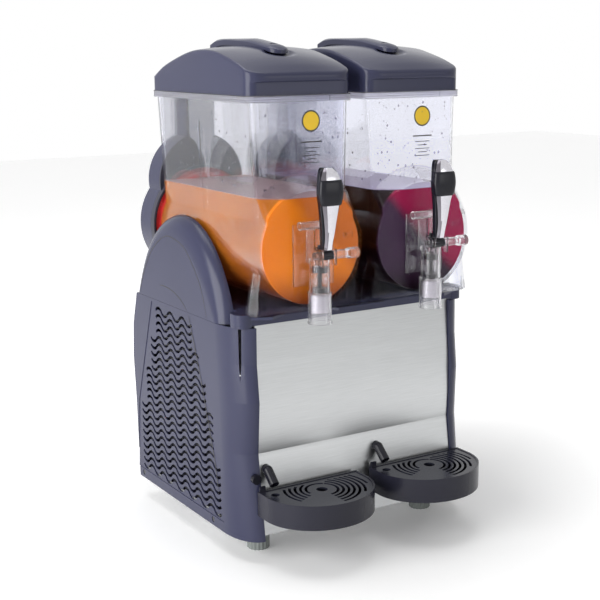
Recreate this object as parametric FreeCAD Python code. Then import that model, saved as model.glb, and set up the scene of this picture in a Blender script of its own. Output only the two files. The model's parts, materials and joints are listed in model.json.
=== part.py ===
import FreeCAD, Part
import math
import os

V = FreeCAD.Vector

# Twin slush machine, in millimetres. X runs to the machine's right as its user sees it,
# +Y runs from the taps to the back, and Z runs up from the counter.
# Shapes of one side are made about x = 0 and then moved or mirrored to their place.

# Driving dimensions of the body
body_width = 400.0
foot_height = 32.0
seam_height = 335.0
deck_top = 354.0
rear_edge = 215.0
wall = 3.0
sheet = 2.0
gap = 0.3
overshoot = 1.0
edge_gap = 1.0
column_width = 33.0
bevel_depth = 22.0
panel_top = 337.0
panel_bottom = 40.0
upper_fold = 283.0
lower_fold = 155.0
panel_sheet = 1.5

# Driving dimensions of the bowls, drums and lids
bowl_between = 22.0
bowl_aside = 1.0
barrel_inset = 2.0
barrel_lift = 7.0
barrel_front = -140.0
bulkhead_front = 180.0
bowl_wall = 3.5
rim_height = 646.0
rim_front = -117.0
rim_band = 9.5
rim_overhang = 4.5
hopper_taper = 0.04
rim_corner = 14.0
shoulder_rise = 23.0
drum_inset = 29.0
drum_shell = 4.0
drum_front = -96.0
auger_inset = 17.0
auger_pitch = 90.0
auger_blade = 4.0
shaft_radius = 6.0
lid_wall = 2.5
lid_skirt = 20.5
lid_crown = 714.5

# Driving dimensions of the taps
tap_reach = 18.0
outlet_drop = 36.0
tube_radius = 14.0
tube_wall = 2.5
tube_rise = 24.0
sleeve_drop = 21.0
sleeve_length = 43.0
pivot_rise = 7.0
pivot_forward = 15.0
pin_radius = 4.0

# Driving dimensions of the drip trays
tray_inset = 0.5
tray_depth = 101.0
tray_top = 106.0
tray_height = 35.0
tray_back = -125.0
tray_wall = 3.0
grid_thickness = 3.0

# Worked out from the driving dimensions
half_width = body_width / 2
side_face = half_width
panel_half = half_width - column_width - edge_gap
deck_half = half_width - bevel_depth - gap
rim_half_width = (half_width - bevel_depth - bowl_aside - bowl_between / 2) / 2
bowl_x = bowl_between / 2 + rim_half_width
barrel_radius = rim_half_width - barrel_inset
shoulder_radius = barrel_radius + shoulder_rise
drum_radius = barrel_radius - drum_inset
auger_radius = barrel_radius - auger_inset
axis_height = deck_top + barrel_lift + barrel_radius
rim_back = bulkhead_front - gap
hopper_half_top = rim_half_width - rim_overhang
tap_centre = barrel_front - tap_reach
outlet_height = axis_height - outlet_drop
tube_top = outlet_height + tube_rise
sleeve_top = outlet_height - sleeve_drop
sleeve_bottom = sleeve_top - sleeve_length
pivot_y = tap_centre - pivot_forward
pivot_height = tube_top + pivot_rise
tray_half = rim_half_width - tray_inset


def points(values, place):
    """Turn pairs of numbers into points with the given placing function."""
    return [place(a, b) for a, b in values]


def wire(corners):
    """A closed outline of straight edges."""
    return Part.makePolygon(corners + [corners[0]])


def prism(corners, along):
    """A straight-sided solid from an outline and a vector."""
    return Part.Face(wire(corners)).extrude(V(*along))


def prism_x(outline, x_low, x_high):
    """A solid with an outline of (y, z) pairs, from x_low to x_high."""
    return prism(points(outline, lambda y, z: V(x_low, y, z)), (x_high - x_low, 0, 0))


def prism_y(outline, y_low, y_high):
    """A solid with an outline of (x, z) pairs, from y_low to y_high."""
    return prism(points(outline, lambda x, z: V(x, y_low, z)), (0, y_high - y_low, 0))


def prism_z(outline, z_low, z_high):
    """A solid with an outline of (x, y) pairs, from z_low to z_high."""
    return prism(points(outline, lambda x, y: V(x, y, z_low)), (0, 0, z_high - z_low))


def block(x, y, z):
    """A block between the pairs of limits x, y and z."""
    return Part.makeBox(x[1] - x[0], y[1] - y[0], z[1] - z[0], V(x[0], y[0], z[0]))


def rod(start, end, radius):
    """A round bar from start to end."""
    along = V(*end) - V(*start)
    return Part.makeCylinder(radius, along.Length, V(*start), along)


def rod_x(place, ends, radius):
    """A rod along X at a place (y, z)."""
    return rod((ends[0], *place), (ends[1], *place), radius)


def rod_y(place, ends, radius):
    """A rod along Y at a place (x, z)."""
    return rod((place[0], ends[0], place[1]), (place[0], ends[1], place[1]), radius)


def rod_z(place, ends, radius):
    """An upright rod at a place (x, y)."""
    return rod((*place, ends[0]), (*place, ends[1]), radius)


def tube(start, end, outer, inner):
    """A round bar with a bore."""
    return rod(start, end, outer).cut(rod(start, end, inner))


def fuse(shapes):
    """One solid of several that touch or cross."""
    return shapes[0].multiFuse(shapes[1:]).removeSplitter()


def rounded_outline(x, y, radius, height):
    """A closed outline of a rectangle with round corners, at one height."""
    x_low, x_high = x
    y_low, y_high = y
    edges = []
    centres = [(x_high - radius, y_low + radius, 270), (x_high - radius, y_high - radius, 0),
               (x_low + radius, y_high - radius, 90), (x_low + radius, y_low + radius, 180)]
    spots = []
    for cx, cy, start in centres:
        arc = [V(cx + radius * math.cos(math.radians(start + turn)),
                 cy + radius * math.sin(math.radians(start + turn)), height) for turn in (0, 45, 90)]
        spots.append(arc)
    for index, arc in enumerate(spots):
        edges.append(Part.Arc(*arc).toShape())
        edges.append(Part.makeLine(arc[2], spots[(index + 1) % 4][0]))
    return Part.Wire(edges)


def rounded_block(x, y, z, radius):
    """A block with round upright corners."""
    return Part.Face(rounded_outline(x, y, radius, z[0])).extrude(V(0, 0, z[1] - z[0]))


def mirrored(shape):
    """The same shape on the other side of x = 0."""
    return shape.mirror(V(0, 0, 0), V(1, 0, 0))


def moved(shape, x=0.0, y=0.0, z=0.0):
    """A copy of the shape at another place."""
    copy = shape.copy()
    copy.translate(V(x, y, z))
    return copy


# Side panels. Every outline below is for the right side, and the left one is its mirror image.

# Rear edge and front edge of the lower panel as pairs of height and y
bulge_height = 230.0
rear_profile = [(foot_height, rear_edge), (139.0, rear_edge + 4), (bulge_height, rear_edge + 11),
                (upper_fold, rear_edge + 7), (seam_height, rear_edge - 9)]
face_profile = [(foot_height, -70.0), (lower_fold, -66.0), (bulge_height, -62.0), (seam_height, -51.5)]
front_profile = [(foot_height, -130.0), (lower_fold, -113.0), (bulge_height, -118.0), (upper_fold, -112.0)]


def value_at(profile, height):
    """The y of a profile at a height, by straight lines between its pairs."""
    for (low, y_low), (high, y_high) in zip(profile, profile[1:]):
        if height <= high:
            return y_low + (y_high - y_low) * (height - low) / (high - low)
    return profile[-1][1]


rear_return = 12.0
column_return = 16.0


def panel_outline(height, inset):
    """The plan of a side panel at one height: its rear, its side face and its rounded column."""
    rear = value_at(rear_profile, height) - inset
    face = value_at(face_profile, height)
    front = value_at(front_profile, height) + inset
    x_out = side_face - inset
    x_end = side_face - column_width + inset
    nose = V(x_end, front, height)
    flank = V(x_out, face, height)
    quarter = Part.ArcOfEllipse(Part.Ellipse(nose, flank, V(x_end, face, height)), 0, math.pi / 2)
    start = V(x_end, rear, height)
    corner = V(x_out, rear, height)
    return Part.Wire([Part.makeLine(start, corner), Part.makeLine(corner, flank), quarter.toShape(),
                      Part.makeLine(nose, start)])


def panel_shell():
    """The wall of the lower side panel, open at its top, its bottom and its inner side."""
    heights = [foot_height, lower_fold, bulge_height, upper_fold, seam_height - gap]
    outer = Part.makeLoft([panel_outline(z, 0) for z in heights], True, True)
    low = foot_height - overshoot
    high = seam_height + overshoot
    inner = Part.makeLoft([panel_outline(z, wall) for z in [low] + heights[1:-1] + [high]], True, True)
    open_front = value_at(front_profile, bulge_height) + column_return
    opening = block((side_face - column_width - overshoot, side_face - rear_return),
                    (open_front, value_at(rear_profile, bulge_height) + overshoot), (low, high))
    return outer.cut(inner).cut(opening)


# Vents: wavy rows, as pairs of height and y at their front and rear ends
vent_front = [(53.0, -60.0), (133.0, -60.0), (201.0, -39.0), (320.0, 20.0)]
vent_rear = [(53.0, 210.0), (161.0, 201.0), (323.0, 144.0)]
vent_rows = 24
vent_bottom = 56.0
vent_step = 11.4
vent_margin = 9.0
slot_half = 2.3
half_wave = 20.0
wave_rise = 4.6
vent_sink = 0.8


def wave_slot(first, count, height, x):
    """A wavy slot of half waves, made of arcs, in a plane of constant x. All rows wave in step."""
    radius = ((half_wave / 2) ** 2 + wave_rise ** 2) / (2 * wave_rise)
    half_turn = math.degrees(math.asin(half_wave / 2 / radius))
    upper = []
    lower = []
    for index in range(count):
        side = 1 if (first + index) % 2 == 0 else -1
        centre_y = half_wave * (first + index + 0.5)
        centre_z = height - side * (radius - wave_rise)
        for chain, offset in ((upper, side * slot_half), (lower, -side * slot_half)):
            spots = []
            for turn in (-half_turn, 0, half_turn):
                reach = radius + offset
                spots.append(V(x, centre_y + reach * math.sin(math.radians(turn)),
                               centre_z + side * reach * math.cos(math.radians(turn))))
            chain.append(spots)
    edges = [Part.Arc(*spots).toShape() for spots in upper]
    edges.append(Part.makeLine(upper[-1][2], lower[-1][2]))
    edges += [Part.Arc(*spots[::-1]).toShape() for spots in lower[::-1]]
    edges.append(Part.makeLine(lower[0][0], upper[0][0]))
    return Part.Wire(edges)


def vent_plate():
    """The vent field: an upright plate with its wavy slots, a little behind the panel's face."""
    x_inner = side_face - wall
    low = vent_bottom - vent_margin
    top = vent_bottom + vent_step * vent_rows
    front_heights = [low] + [z for z, _ in vent_front[1:-1]] + [top]
    rear_heights = [top] + [z for z, _ in vent_rear[1:-1]] + [low]
    outline = [(value_at(vent_front, z) - vent_margin, z) for z in front_heights]
    outline += [(value_at(vent_rear, z) + vent_margin, z) for z in rear_heights]
    edge = wire(points(outline, lambda y, z: V(x_inner, y, z)))
    slots = []
    for row in range(vent_rows):
        height = vent_bottom + vent_step * row
        first = math.ceil(value_at(vent_front, height) / half_wave)
        last = math.floor(value_at(vent_rear, height) / half_wave)
        slots.append(wave_slot(first, last - first, height, x_inner))
    face = Part.makeFace([edge] + slots, "Part::FaceMakerBullseye")
    plate = face.extrude(V(wall - vent_sink, 0, 0))
    window = Part.Face(edge).extrude(V(wall * 2, 0, 0))
    window.translate(V(-wall / 2, 0, 0))
    return plate, window


def lower_side_panel():
    """The lower half of the right side: flat vented face, rear return and rounded front column."""
    plate, window = vent_plate()
    return fuse([panel_shell().cut(window), plate])


# Upper arches: crease and outer edge as pairs of y and height above the seam
arch_crease = [(-51.5, 0.0), (-23.0, 43.0), (21.0, 86.0), (79.0, 105.5), (128.0, 90.0), (170.0, 47.0),
               (196.0, 0.0)]
arch_edge = [(-74.0, 0.0), (-42.0, 70.0), (7.0, 117.0), (76.0, 135.0), (133.0, 117.0), (178.0, 69.0),
             (206.0, 0.0)]
arch_middle = 76.0
arch_below = 20.0


def arch_outline(turn, inset, x):
    """The arch's outline at one stage of its round bevel, with its foot on the seam."""
    share = math.sin(math.radians(turn))
    spots = []
    for (y_in, z_in), (y_out, z_out) in zip(arch_crease, arch_edge):
        y = y_in + (y_out - y_in) * share
        z = z_in + (z_out - z_in) * share
        if inset:
            pull = inset / math.hypot(y - arch_middle, z + arch_below)
            y -= (y - arch_middle) * pull
            z -= (z + arch_below) * pull
        spots.append(V(x, y, seam_height + z))
    curve = Part.BSplineCurve()
    curve.interpolate(spots)
    return Part.Wire([curve.toShape(), Part.makeLine(spots[-1], spots[0])])


def arch_body(inset):
    """The arch, or the space in it, as a loft from its flat face to its outer edge."""
    rings = []
    for turn in (0, 22.5, 45, 67.5, 90):
        depth = bevel_depth * (1 - math.cos(math.radians(turn)))
        share = depth / bevel_depth
        x = side_face - inset - share * (bevel_depth - 2 * inset)
        rings.append(arch_outline(turn, inset, x))
    return Part.makeLoft(rings, True, False)


def upper_arch():
    """The upper half of the right side: a bevelled arch, hollow and open below."""
    return arch_body(0).cut(arch_body(wall))


# Chassis
chassis_inset = 3.5
chassis_clear = 2.0
chassis_half = half_width - chassis_inset
chassis_front_half = panel_half - chassis_clear
chassis_front = -88.0
chassis_step = -45.0
chassis_back = 208.0
chassis_flange = 20.0
post_size = 20.0
ring_open_half = 130.0
ring_open_front = -60.0
ring_open_back = 150.0


def chassis_frame():
    """The welded chassis: floor tray, four angle posts and the ring under the deck."""
    z0 = foot_height
    floor = prism_z([(-chassis_front_half, chassis_front), (chassis_front_half, chassis_front),
                     (chassis_front_half, chassis_step), (chassis_half, chassis_step),
                     (chassis_half, chassis_back), (-chassis_half, chassis_back),
                     (-chassis_half, chassis_step), (-chassis_front_half, chassis_step)], z0, z0 + sheet)
    top = z0 + chassis_flange
    across = (-chassis_front_half, chassis_front_half)
    shapes = [floor, block(across, (chassis_front, chassis_front + sheet), (z0, top)),
              block(across, (chassis_back - sheet, chassis_back), (z0, top))]
    ring_low = seam_height - sheet
    ring = block(across, (chassis_front, chassis_back), (ring_low, seam_height))
    ring = ring.cut(block((-ring_open_half, ring_open_half), (ring_open_front, ring_open_back),
                          (ring_low - overshoot, seam_height + overshoot)))
    shapes.append(ring)
    for side in (-1, 1):
        x = sorted((side * chassis_half, side * (chassis_half - sheet)))
        shapes.append(block(x, (chassis_step, chassis_back), (z0, top)))
        for y in ((chassis_front, chassis_front + post_size), (chassis_back - post_size, chassis_back)):
            x = sorted((side * chassis_front_half, side * (chassis_front_half - sheet)))
            shapes.append(block(x, y, (z0, seam_height)))
        for y in ((chassis_front, chassis_front + sheet), (chassis_back - sheet, chassis_back)):
            x = sorted((side * chassis_front_half, side * (chassis_front_half - post_size)))
            shapes.append(block(x, y, (z0, seam_height)))
    body = fuse(shapes)
    for y, z in screw_places():
        body = body.cut(rod_x((y, z), (-half_width, half_width), screw_shank + gap))
    return body


# Screws of the side panels
screw_head = 4.0
screw_shank = 2.0
screw_sink = 0.6
head_height = 2.0
screw_length = 10.0
screw_rise = 9.0
screw_back = 15.0


def screw_places():
    """The screws of one side as pairs of y and height."""
    height = foot_height + screw_rise
    return [(chassis_step + screw_rise, height), (rear_edge - screw_back, height)]


def panel_screws():
    """The four sunk screws that hold the side panels to the chassis."""
    screws = []
    for side in (-1, 1):
        outer = side * (side_face - screw_sink)
        inner = side * (side_face - screw_sink - head_height)
        end = side * (side_face - screw_length)
        for y, z in screw_places():
            head = rod_x((y, z), (outer, inner), screw_head)
            screws.append(head.fuse(rod_x((y, z), (inner, end), screw_shank)))
    return Part.makeCompound(screws)


def drill_screws(panel):
    """The panel with its four screw holes."""
    for y, z in screw_places():
        through = (side_face - wall - overshoot, side_face + overshoot)
        panel = panel.cut(rod_x((y, z), through, screw_head + gap))
    return panel


# Front panel
panel_line = [(panel_bottom, -127.0), (lower_fold, -110.0), (234.0, -112.0), (upper_fold, -108.0),
              (panel_top, -105.0)]
spout_aside = 62.0
spout_height = 132.0
spout_radius = 7.0
spout_bore = 5.0
hook_aside = 60.0
hook_height = 99.0
hook_width = 10.0
hook_rise = 5.0
hook_reach = 13.0
hook_play = 1.0


def panel_y(height):
    """The front face of the steel panel at a height, away from its bulge."""
    return value_at(panel_line, height)


def front_chain(shift):
    """The steel panel's profile: its lower leaf, its bulge between the folds and its upper leaf."""
    spots = [V(0, y + shift, z) for z, y in panel_line]
    return [Part.makeLine(spots[0], spots[1]), Part.Arc(spots[1], spots[2], spots[3]).toShape(),
            Part.makeLine(spots[3], spots[4])], spots


def front_panel():
    """The folded steel front, with side flanges back to the chassis and holes for spouts and hooks."""
    outer, outer_spots = front_chain(0)
    inner, inner_spots = front_chain(panel_sheet)
    profile = Part.Wire(outer + [Part.makeLine(outer_spots[-1], inner_spots[-1])] + inner[::-1]
                        + [Part.makeLine(inner_spots[0], outer_spots[0])])
    leaf = Part.Face(profile).extrude(V(2 * panel_half, 0, 0))
    leaf.translate(V(-panel_half, 0, 0))
    back = chassis_front - gap
    top = V(0, back, panel_top)
    foot = V(0, back, panel_bottom)
    side = Part.Wire(outer + [Part.makeLine(outer_spots[-1], top), Part.makeLine(top, foot),
                              Part.makeLine(foot, outer_spots[0])])
    shapes = [leaf]
    for x in (-panel_half, panel_half - panel_sheet):
        flange = Part.Face(side).extrude(V(panel_sheet, 0, 0))
        flange.translate(V(x, 0, 0))
        shapes.append(flange)
    body = fuse(shapes)
    through = (panel_y(panel_bottom) - overshoot, back - overshoot)
    half = hook_width / 2 + hook_play
    hole = (hook_height - hook_rise / 2, hook_height + hook_rise / 2 + hook_play)
    for centre in (-bowl_x, bowl_x):
        x = centre - spout_aside
        body = body.cut(rod_y((x, spout_height), (through[0], through[1]), spout_radius + gap))
        for aside in (-hook_aside, hook_aside):
            body = body.cut(block((centre + aside - half, centre + aside + half), through, hole))
    return body


# Deck
deck_cover = 3.0
deck_front = panel_line[-1][1] - deck_cover
post_inset = 6.0
post_out = half_width - post_inset
post_front = deck_front - 2.0
post_back = -77.0
post_round = 13.0
tab_reach = 15.0
tab_sink = 4.0
tab_thick = 4.0
middle_tab = [(-50.0, 0.0), (-40.0, 1.0), (38.0, 1.0), (46.0, 0.0)]
side_tab = [(2.0, 0.0), (30.0, 1.0), (56.0, 0.0)]


def top_deck():
    """The dark deck under the bowls, with its front band, tabs and rounded corner posts."""
    back = bulkhead_front - gap
    across = (-deck_half, deck_half)
    shapes = [block(across, (deck_front, back), (deck_top - wall, deck_top)),
              block(across, (deck_front, deck_front + wall - gap), (panel_top + gap, deck_top))]
    for side in (-1, 1):
        x = sorted((side * deck_half, side * (deck_half - wall)))
        shapes.append(block(x, (post_back, back), (seam_height, deck_top)))
        inner = side * (panel_half + gap)
        x = sorted((inner, side * post_out))
        shapes.append(rounded_block(x, (post_front, post_back), (seam_height, deck_top), post_round))
    tab_z = (deck_top - tab_sink - tab_thick, deck_top - tab_sink)
    shapes.append(prism_z([(x, deck_front - tab_reach * out) for x, out in middle_tab], *tab_z))
    for side in (-1, 1):
        outline = [(side * (deck_half - x), deck_front - tab_reach * out) for x, out in side_tab]
        shapes.append(prism_z(outline, *tab_z))
    return fuse(shapes)


# Feet
foot_radius = 16.5
foot_inset = 18.0
foot_aside = chassis_front_half - foot_inset
foot_front = -72.0
foot_back = 180.0
flutes = 18
flute_depth = 1.2


def feet():
    """Four fluted feet."""
    solids = []
    for x in (-foot_aside, foot_aside):
        for y in (foot_front, foot_back):
            corners = []
            for index in range(flutes * 2):
                radius = foot_radius if index % 2 == 0 else foot_radius - flute_depth
                angle = math.pi * index / flutes
                corners.append(V(x + radius * math.cos(angle), y + radius * math.sin(angle), 0))
            solids.append(prism(corners, (0, 0, foot_height)))
    return Part.makeCompound(solids)


# Rear
bulkhead_sheet = 4.0
cover_back = 222.0
cover_wall = 3.0
flange_width = 7.0
flange_radius = barrel_radius + flange_width
ring_rise = 7.0
ring_wall = 3.0
dome_radius = 72.0
dome_rise = 65.0
column_half = 24.0
tower_top = 660.0
drum_hole = drum_radius - drum_shell


def tower_outline(inset, y_low, y_high):
    """Round flange, dome and column behind one bowl, between two values of y."""
    flange = rod_y((0, axis_height), (y_low, y_high), flange_radius - inset)
    dome = rod_y((0, axis_height + dome_rise), (y_low, y_high), dome_radius - inset)
    column = block((-column_half + inset, column_half - inset), (y_low, y_high),
                   (axis_height, tower_top - inset))
    return fuse([flange, dome, column])


def bulkhead():
    """The upright wall that carries both drums, with a raised ring round each of them."""
    back = bulkhead_front + bulkhead_sheet
    shapes = [block((-deck_half, deck_half), (bulkhead_front, back), (seam_height, axis_height))]
    for x in (-bowl_x, bowl_x):
        shapes.append(moved(tower_outline(0, bulkhead_front, back), x))
        shapes.append(tube((x, bulkhead_front - ring_rise, axis_height), (x, bulkhead_front, axis_height),
                           flange_radius, flange_radius - ring_wall))
    body = fuse(shapes)
    for x in (-bowl_x, bowl_x):
        body = body.cut(rod_y((x, axis_height), (bulkhead_front - overshoot, back + overshoot), drum_hole))
    return body


def motor_cover():
    """The cover behind one bowl: flange, dome and column, open to the front."""
    front = bulkhead_front + bulkhead_sheet
    hollow = tower_outline(cover_wall, front - overshoot, cover_back - cover_wall)
    return tower_outline(0, front, cover_back).cut(hollow)


rear_panel_half = half_width - rear_return - edge_gap
louvre_rows = 9
louvre_low = 110.0
louvre_step = 20.0
louvre_aside = 75.0
louvre_half = 60.0
louvre_height = 7.0
gland_x = -120.0
gland_z = 70.0
gland_radius = 9.0
gland_bore = 4.0
gland_lip = 3.0
collar_length = 10.0
nut_length = 6.0


def rear_panel():
    """The lower rear sheet with louvre slots and the hole for the cord gland."""
    front = chassis_back + gap
    through = (front - overshoot, front + sheet + overshoot)
    body = block((-rear_panel_half, rear_panel_half), (front, front + sheet),
                 (foot_height + sheet, seam_height - edge_gap))
    for row in range(louvre_rows):
        z = louvre_low + louvre_step * row
        for x in (-louvre_aside, louvre_aside):
            body = body.cut(block((x - louvre_half, x + louvre_half), through, (z, z + louvre_height)))
    return body.cut(rod_y((gland_x, gland_z), (through[0], through[1]), gland_radius - gland_lip))


def cord_gland():
    """The gland in the rear sheet: a collar outside, a neck through the hole, a nut inside and a bore."""
    front = chassis_back + gap
    back = front + sheet
    nut_front = front - nut_length
    collar_back = back + collar_length
    collar = rod_y((gland_x, gland_z), (back, collar_back), gland_radius)
    neck = rod_y((gland_x, gland_z), (nut_front, back), gland_radius - gland_lip - gap)
    nut = rod_y((gland_x, gland_z), (nut_front, front), gland_radius)
    body = fuse([collar, neck, nut])
    return body.cut(rod_y((gland_x, gland_z), (nut_front - overshoot, collar_back + overshoot), gland_bore))


# Drum, auger and drive, about x = 0
flange_reach = 8.0
flange_thick = 3.0
drum_flange = drum_radius + flange_reach
running = 0.05
press = 0.02
seal_length = 7.0
hub_radius = 13.0
hub_length = 16.0
hub_front = drum_front - seal_length - hub_length
shaft_engage = 9.0
seat_depth = 12.0
lip_width = 7.0
end_band = 3.0
blade_clear = 2.5
blade_inner = drum_radius + blade_clear
blade_steps = 18
blade_turns = 3.0
blade_section = [(blade_inner, -1), (auger_radius, -1), (auger_radius, 1), (blade_inner, 1)]
bar_half = 2.5
bar_inset = 2.0
bar_sink = 1.0
spoke_half = 5.0
spoke_set = 6.0
spoke_depth = 6.0


def evaporator_drum():
    """The steel drum that freezes the drink, closed at its front but for the shaft's hole."""
    inside = drum_front + drum_shell
    body = fuse([rod_y((0, axis_height), (drum_front, bulkhead_front), drum_radius),
                 rod_y((0, axis_height), (bulkhead_front - flange_thick, bulkhead_front), drum_flange)])
    inner = rod_y((0, axis_height), (inside, bulkhead_front + overshoot), drum_hole)
    bore = rod_y((0, axis_height), (drum_front - overshoot, inside + overshoot), shaft_radius + running)
    return body.cut(inner).cut(bore)


def drive_shaft():
    """The shaft from the gear motor through the drum to the auger's hub."""
    return rod_y((0, axis_height), (hub_front, bulkhead_front + bulkhead_sheet + shaft_engage), shaft_radius)


def shaft_seal():
    """The seal round the shaft where it leaves the drum."""
    return tube((0, drum_front - seal_length + gap, axis_height), (0, drum_front, axis_height), hub_radius,
                shaft_radius + running)


def auger():
    """The spiral blade round the drum, with two long bars and a spoked hub."""
    front = hub_front + spoke_set
    back = front + spoke_depth
    sections = []
    for step in range(int(blade_turns * blade_steps) + 1):
        angle = 2 * math.pi * step / blade_steps
        y = back - auger_blade / 2 + auger_pitch * step / blade_steps
        cosine = math.cos(angle)
        sine = math.sin(angle)
        corners = [V(radius * cosine, y + side * auger_blade / 2, axis_height + radius * sine)
                   for radius, side in blade_section]
        sections.append(wire(corners))
    blade = Part.makeLoft(sections, True, True)
    length = auger_pitch * blade_turns
    reach = auger_radius - bar_inset
    shapes = [blade, rod_y((0, axis_height), (hub_front, hub_front + hub_length), hub_radius),
              block((-reach, reach), (front, back), (axis_height - spoke_half, axis_height + spoke_half))]
    for side in (-1, 1):
        x = sorted((side * (blade_inner + bar_sink), side * reach))
        shapes.append(block(x, (front, back + length), (axis_height - bar_half, axis_height + bar_half)))
    body = fuse(shapes)
    through = (hub_front - overshoot, hub_front + hub_length + overshoot)
    return body.cut(rod_y((0, axis_height), through, shaft_radius + press))


# Gear motor
case_half = 34.0
case_depth = 25.0
case_below = 50.0
case_above = 34.0
case_round = 4.0
can_radius = 17.0
can_drop = 27.0
can_length = 50.0


def gear_motor():
    """The gear motor: its gearbox on the bulkhead and its slim motor in the drum's hollow."""
    front = bulkhead_front + bulkhead_sheet
    case = rounded_block((-case_half, case_half), (front, front + case_depth),
                         (axis_height - case_below, axis_height + case_above), case_round)
    can_height = axis_height - can_drop
    can = rod_y((0, can_height), (front, front - can_length), can_radius)
    body = fuse([case, can])
    deep = (front - overshoot, front + shaft_engage + overshoot)
    return body.cut(rod_y((0, axis_height), deep, shaft_radius + running))


def bowl_gasket():
    """The red gasket: a lip inside the barrel's rear end and a ring behind it."""
    back = bulkhead_front
    ring_front = back - flange_thick
    inside = barrel_radius - bowl_wall
    body = fuse([rod_y((0, axis_height), (back - seat_depth, back), inside - gap),
                 rod_y((0, axis_height), (ring_front, back), barrel_radius + end_band)])
    lip_bore = rod_y((0, axis_height), (back - seat_depth - overshoot, ring_front), inside - lip_width)
    ring_bore = rod_y((0, axis_height), (ring_front - overshoot, back + overshoot), drum_flange + gap)
    return body.cut(lip_bore).cut(ring_bore)


# Bowl, about x = 0
barrel_back = bulkhead_front - flange_thick - gap
hopper_front_top = rim_front + rim_overhang
hopper_back_top = rim_back - rim_overhang
front_lean = 0.028
rear_lean = 0.03
shoulder_sink = 6.0
base_set = 9.0
base_front = barrel_front + base_set
base_half = barrel_radius - 1.0
base_lip = 3.0
base_depth = 20.0
web_drop = 12.0
web_top = axis_height - web_drop
fin_depth = 24.0
fin_sheet = 4.0
fin_spread = 7.0
runner_aside = 57.0
runner_sheet = 3.0
runner_drop = 50.0
runner_short = 10.0
outlet_radius = 6.0
rib_place = 35.0
rib_sheet = 4.0
rib_proud = 2.5
rib_low = 470.0
rib_high = 608.0
latch_tab = (2.0, 42.0)
latch_proud = 3.0
latch_low = 8.0
catch_x = 48.0
catch_rise = 16.0
catch_half = 2.0
catch_neck = 9.0
catch_plate = 3.0
catch_reach = 10.0


def hopper_limits(height, inset):
    """The hopper's limits in x and y at a height."""
    drop = rim_height - height
    half = hopper_half_top - hopper_taper * drop - inset
    front = hopper_front_top - front_lean * drop + inset
    back = hopper_back_top - rear_lean * drop - inset
    return (-half, half), (front, back)


def bowl_form(inset):
    """Barrel, hopper and shoulder as one solid, drawn in by the inset."""
    radius = barrel_radius - inset
    front = barrel_front + inset
    past = 0 if inset == 0 else overshoot
    barrel = rod_y((0, axis_height), (front, barrel_back + past), radius)
    corner = rim_corner - rim_overhang - inset
    rings = [rounded_outline(*hopper_limits(z, inset), corner, z) for z in (axis_height, rim_height + past)]
    hopper = Part.makeLoft(rings, True, True)
    x, y = hopper_limits(axis_height + barrel_radius, inset)
    root = y[0] + shoulder_sink
    cone = Part.makeCone(shoulder_radius - inset, radius, root - front, V(0, root, axis_height), V(0, -1, 0))
    slab = block(x, (front - overshoot, root + overshoot), (axis_height, axis_height + shoulder_radius))
    return fuse([barrel, hopper, cone.common(slab)])


def bowl():
    """The clear bowl: hopper, barrel, rim, base skirt, fins, rib, latch tab and hook."""
    outer = bowl_form(0)
    rim = rounded_block((-rim_half_width, rim_half_width), (rim_front, rim_back),
                        (rim_height - rim_band, rim_height), rim_corner)
    seat = deck_top + gap
    base_back = base_front + base_depth
    shapes = [outer, rim,
              block((-base_half, base_half), (base_front, base_front + bowl_wall), (seat, web_top)),
              block((-base_half, base_half), (base_front - base_lip, base_back), (seat, seat + bowl_wall)),
              tube((0, barrel_back - fin_sheet, axis_height), (0, barrel_back, axis_height),
                   barrel_radius + end_band, barrel_radius - bowl_wall)]
    fin_top = web_top - 2.0
    for side in (-1, 1):
        fin = [(side * (base_half - fin_sheet), fin_top), (side * (base_half + fin_spread), seat),
               (side * (base_half + fin_spread - fin_sheet), seat),
               (side * (base_half - 2 * fin_sheet), fin_top)]
        shapes.append(prism_y(fin, base_front, base_front + fin_depth))
        runner = sorted((side * runner_aside, side * (runner_aside + runner_sheet)))
        shapes.append(block(runner, (base_back, barrel_back - runner_short),
                            (seat, axis_height - runner_drop)))
    x_low = hopper_limits(rib_low, 0)[0][0]
    x_high = hopper_limits(rib_high, 0)[0][0]
    rib = [(x_low - rib_proud, rib_low), (x_low + overshoot, rib_low), (x_high + overshoot, rib_high),
           (x_high - rib_proud, rib_high)]
    shapes.append(prism_y(rib, rib_place, rib_place + rib_sheet))
    shapes.append(block(latch_tab, (rim_front - latch_proud, rim_front + overshoot),
                        (rim_height - latch_low, rim_height - overshoot)))
    z = axis_height + catch_rise
    neck_front = barrel_front - catch_neck
    shapes.append(block((catch_x - catch_half, catch_x + catch_half), (neck_front, barrel_front + overshoot),
                        (z - catch_half, z + catch_half)))
    shapes.append(block((catch_x - 2 * catch_half, catch_x + catch_reach),
                        (neck_front - catch_plate, neck_front), (z - 2 * catch_half, z + 2 * catch_half)))
    body = fuse(shapes).cut(bowl_form(bowl_wall))
    through = (barrel_front - overshoot, barrel_front + bowl_wall + overshoot)
    return body.cut(rod_y((0, outlet_height), through, outlet_radius))


# Lid, about x = 0: its height along each side and along the middle, as pairs of y and z
lid_bottom = rim_height + gap
lid_nose = -121.0
lid_inset = 2.5
lid_side_inset = 1.0
lid_bands = 10
lid_side = [(rim_back, 664.0), (166.0, 670.0), (139.0, 682.0), (86.0, 697.5), (50.0, 706.0), (1.0, 709.3),
            (-40.0, 706.0), (-75.0, 694.5), (-100.0, 684.0), (lid_nose, 675.0)]
lid_middle = [(rim_back, 667.0), (166.0, 676.0), (139.0, 689.0), (86.0, 705.5), (50.0, 712.0),
              (1.0, lid_crown), (-40.0, 711.5), (-75.0, 700.0), (-100.0, 687.0), (lid_nose, 672.5)]


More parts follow.
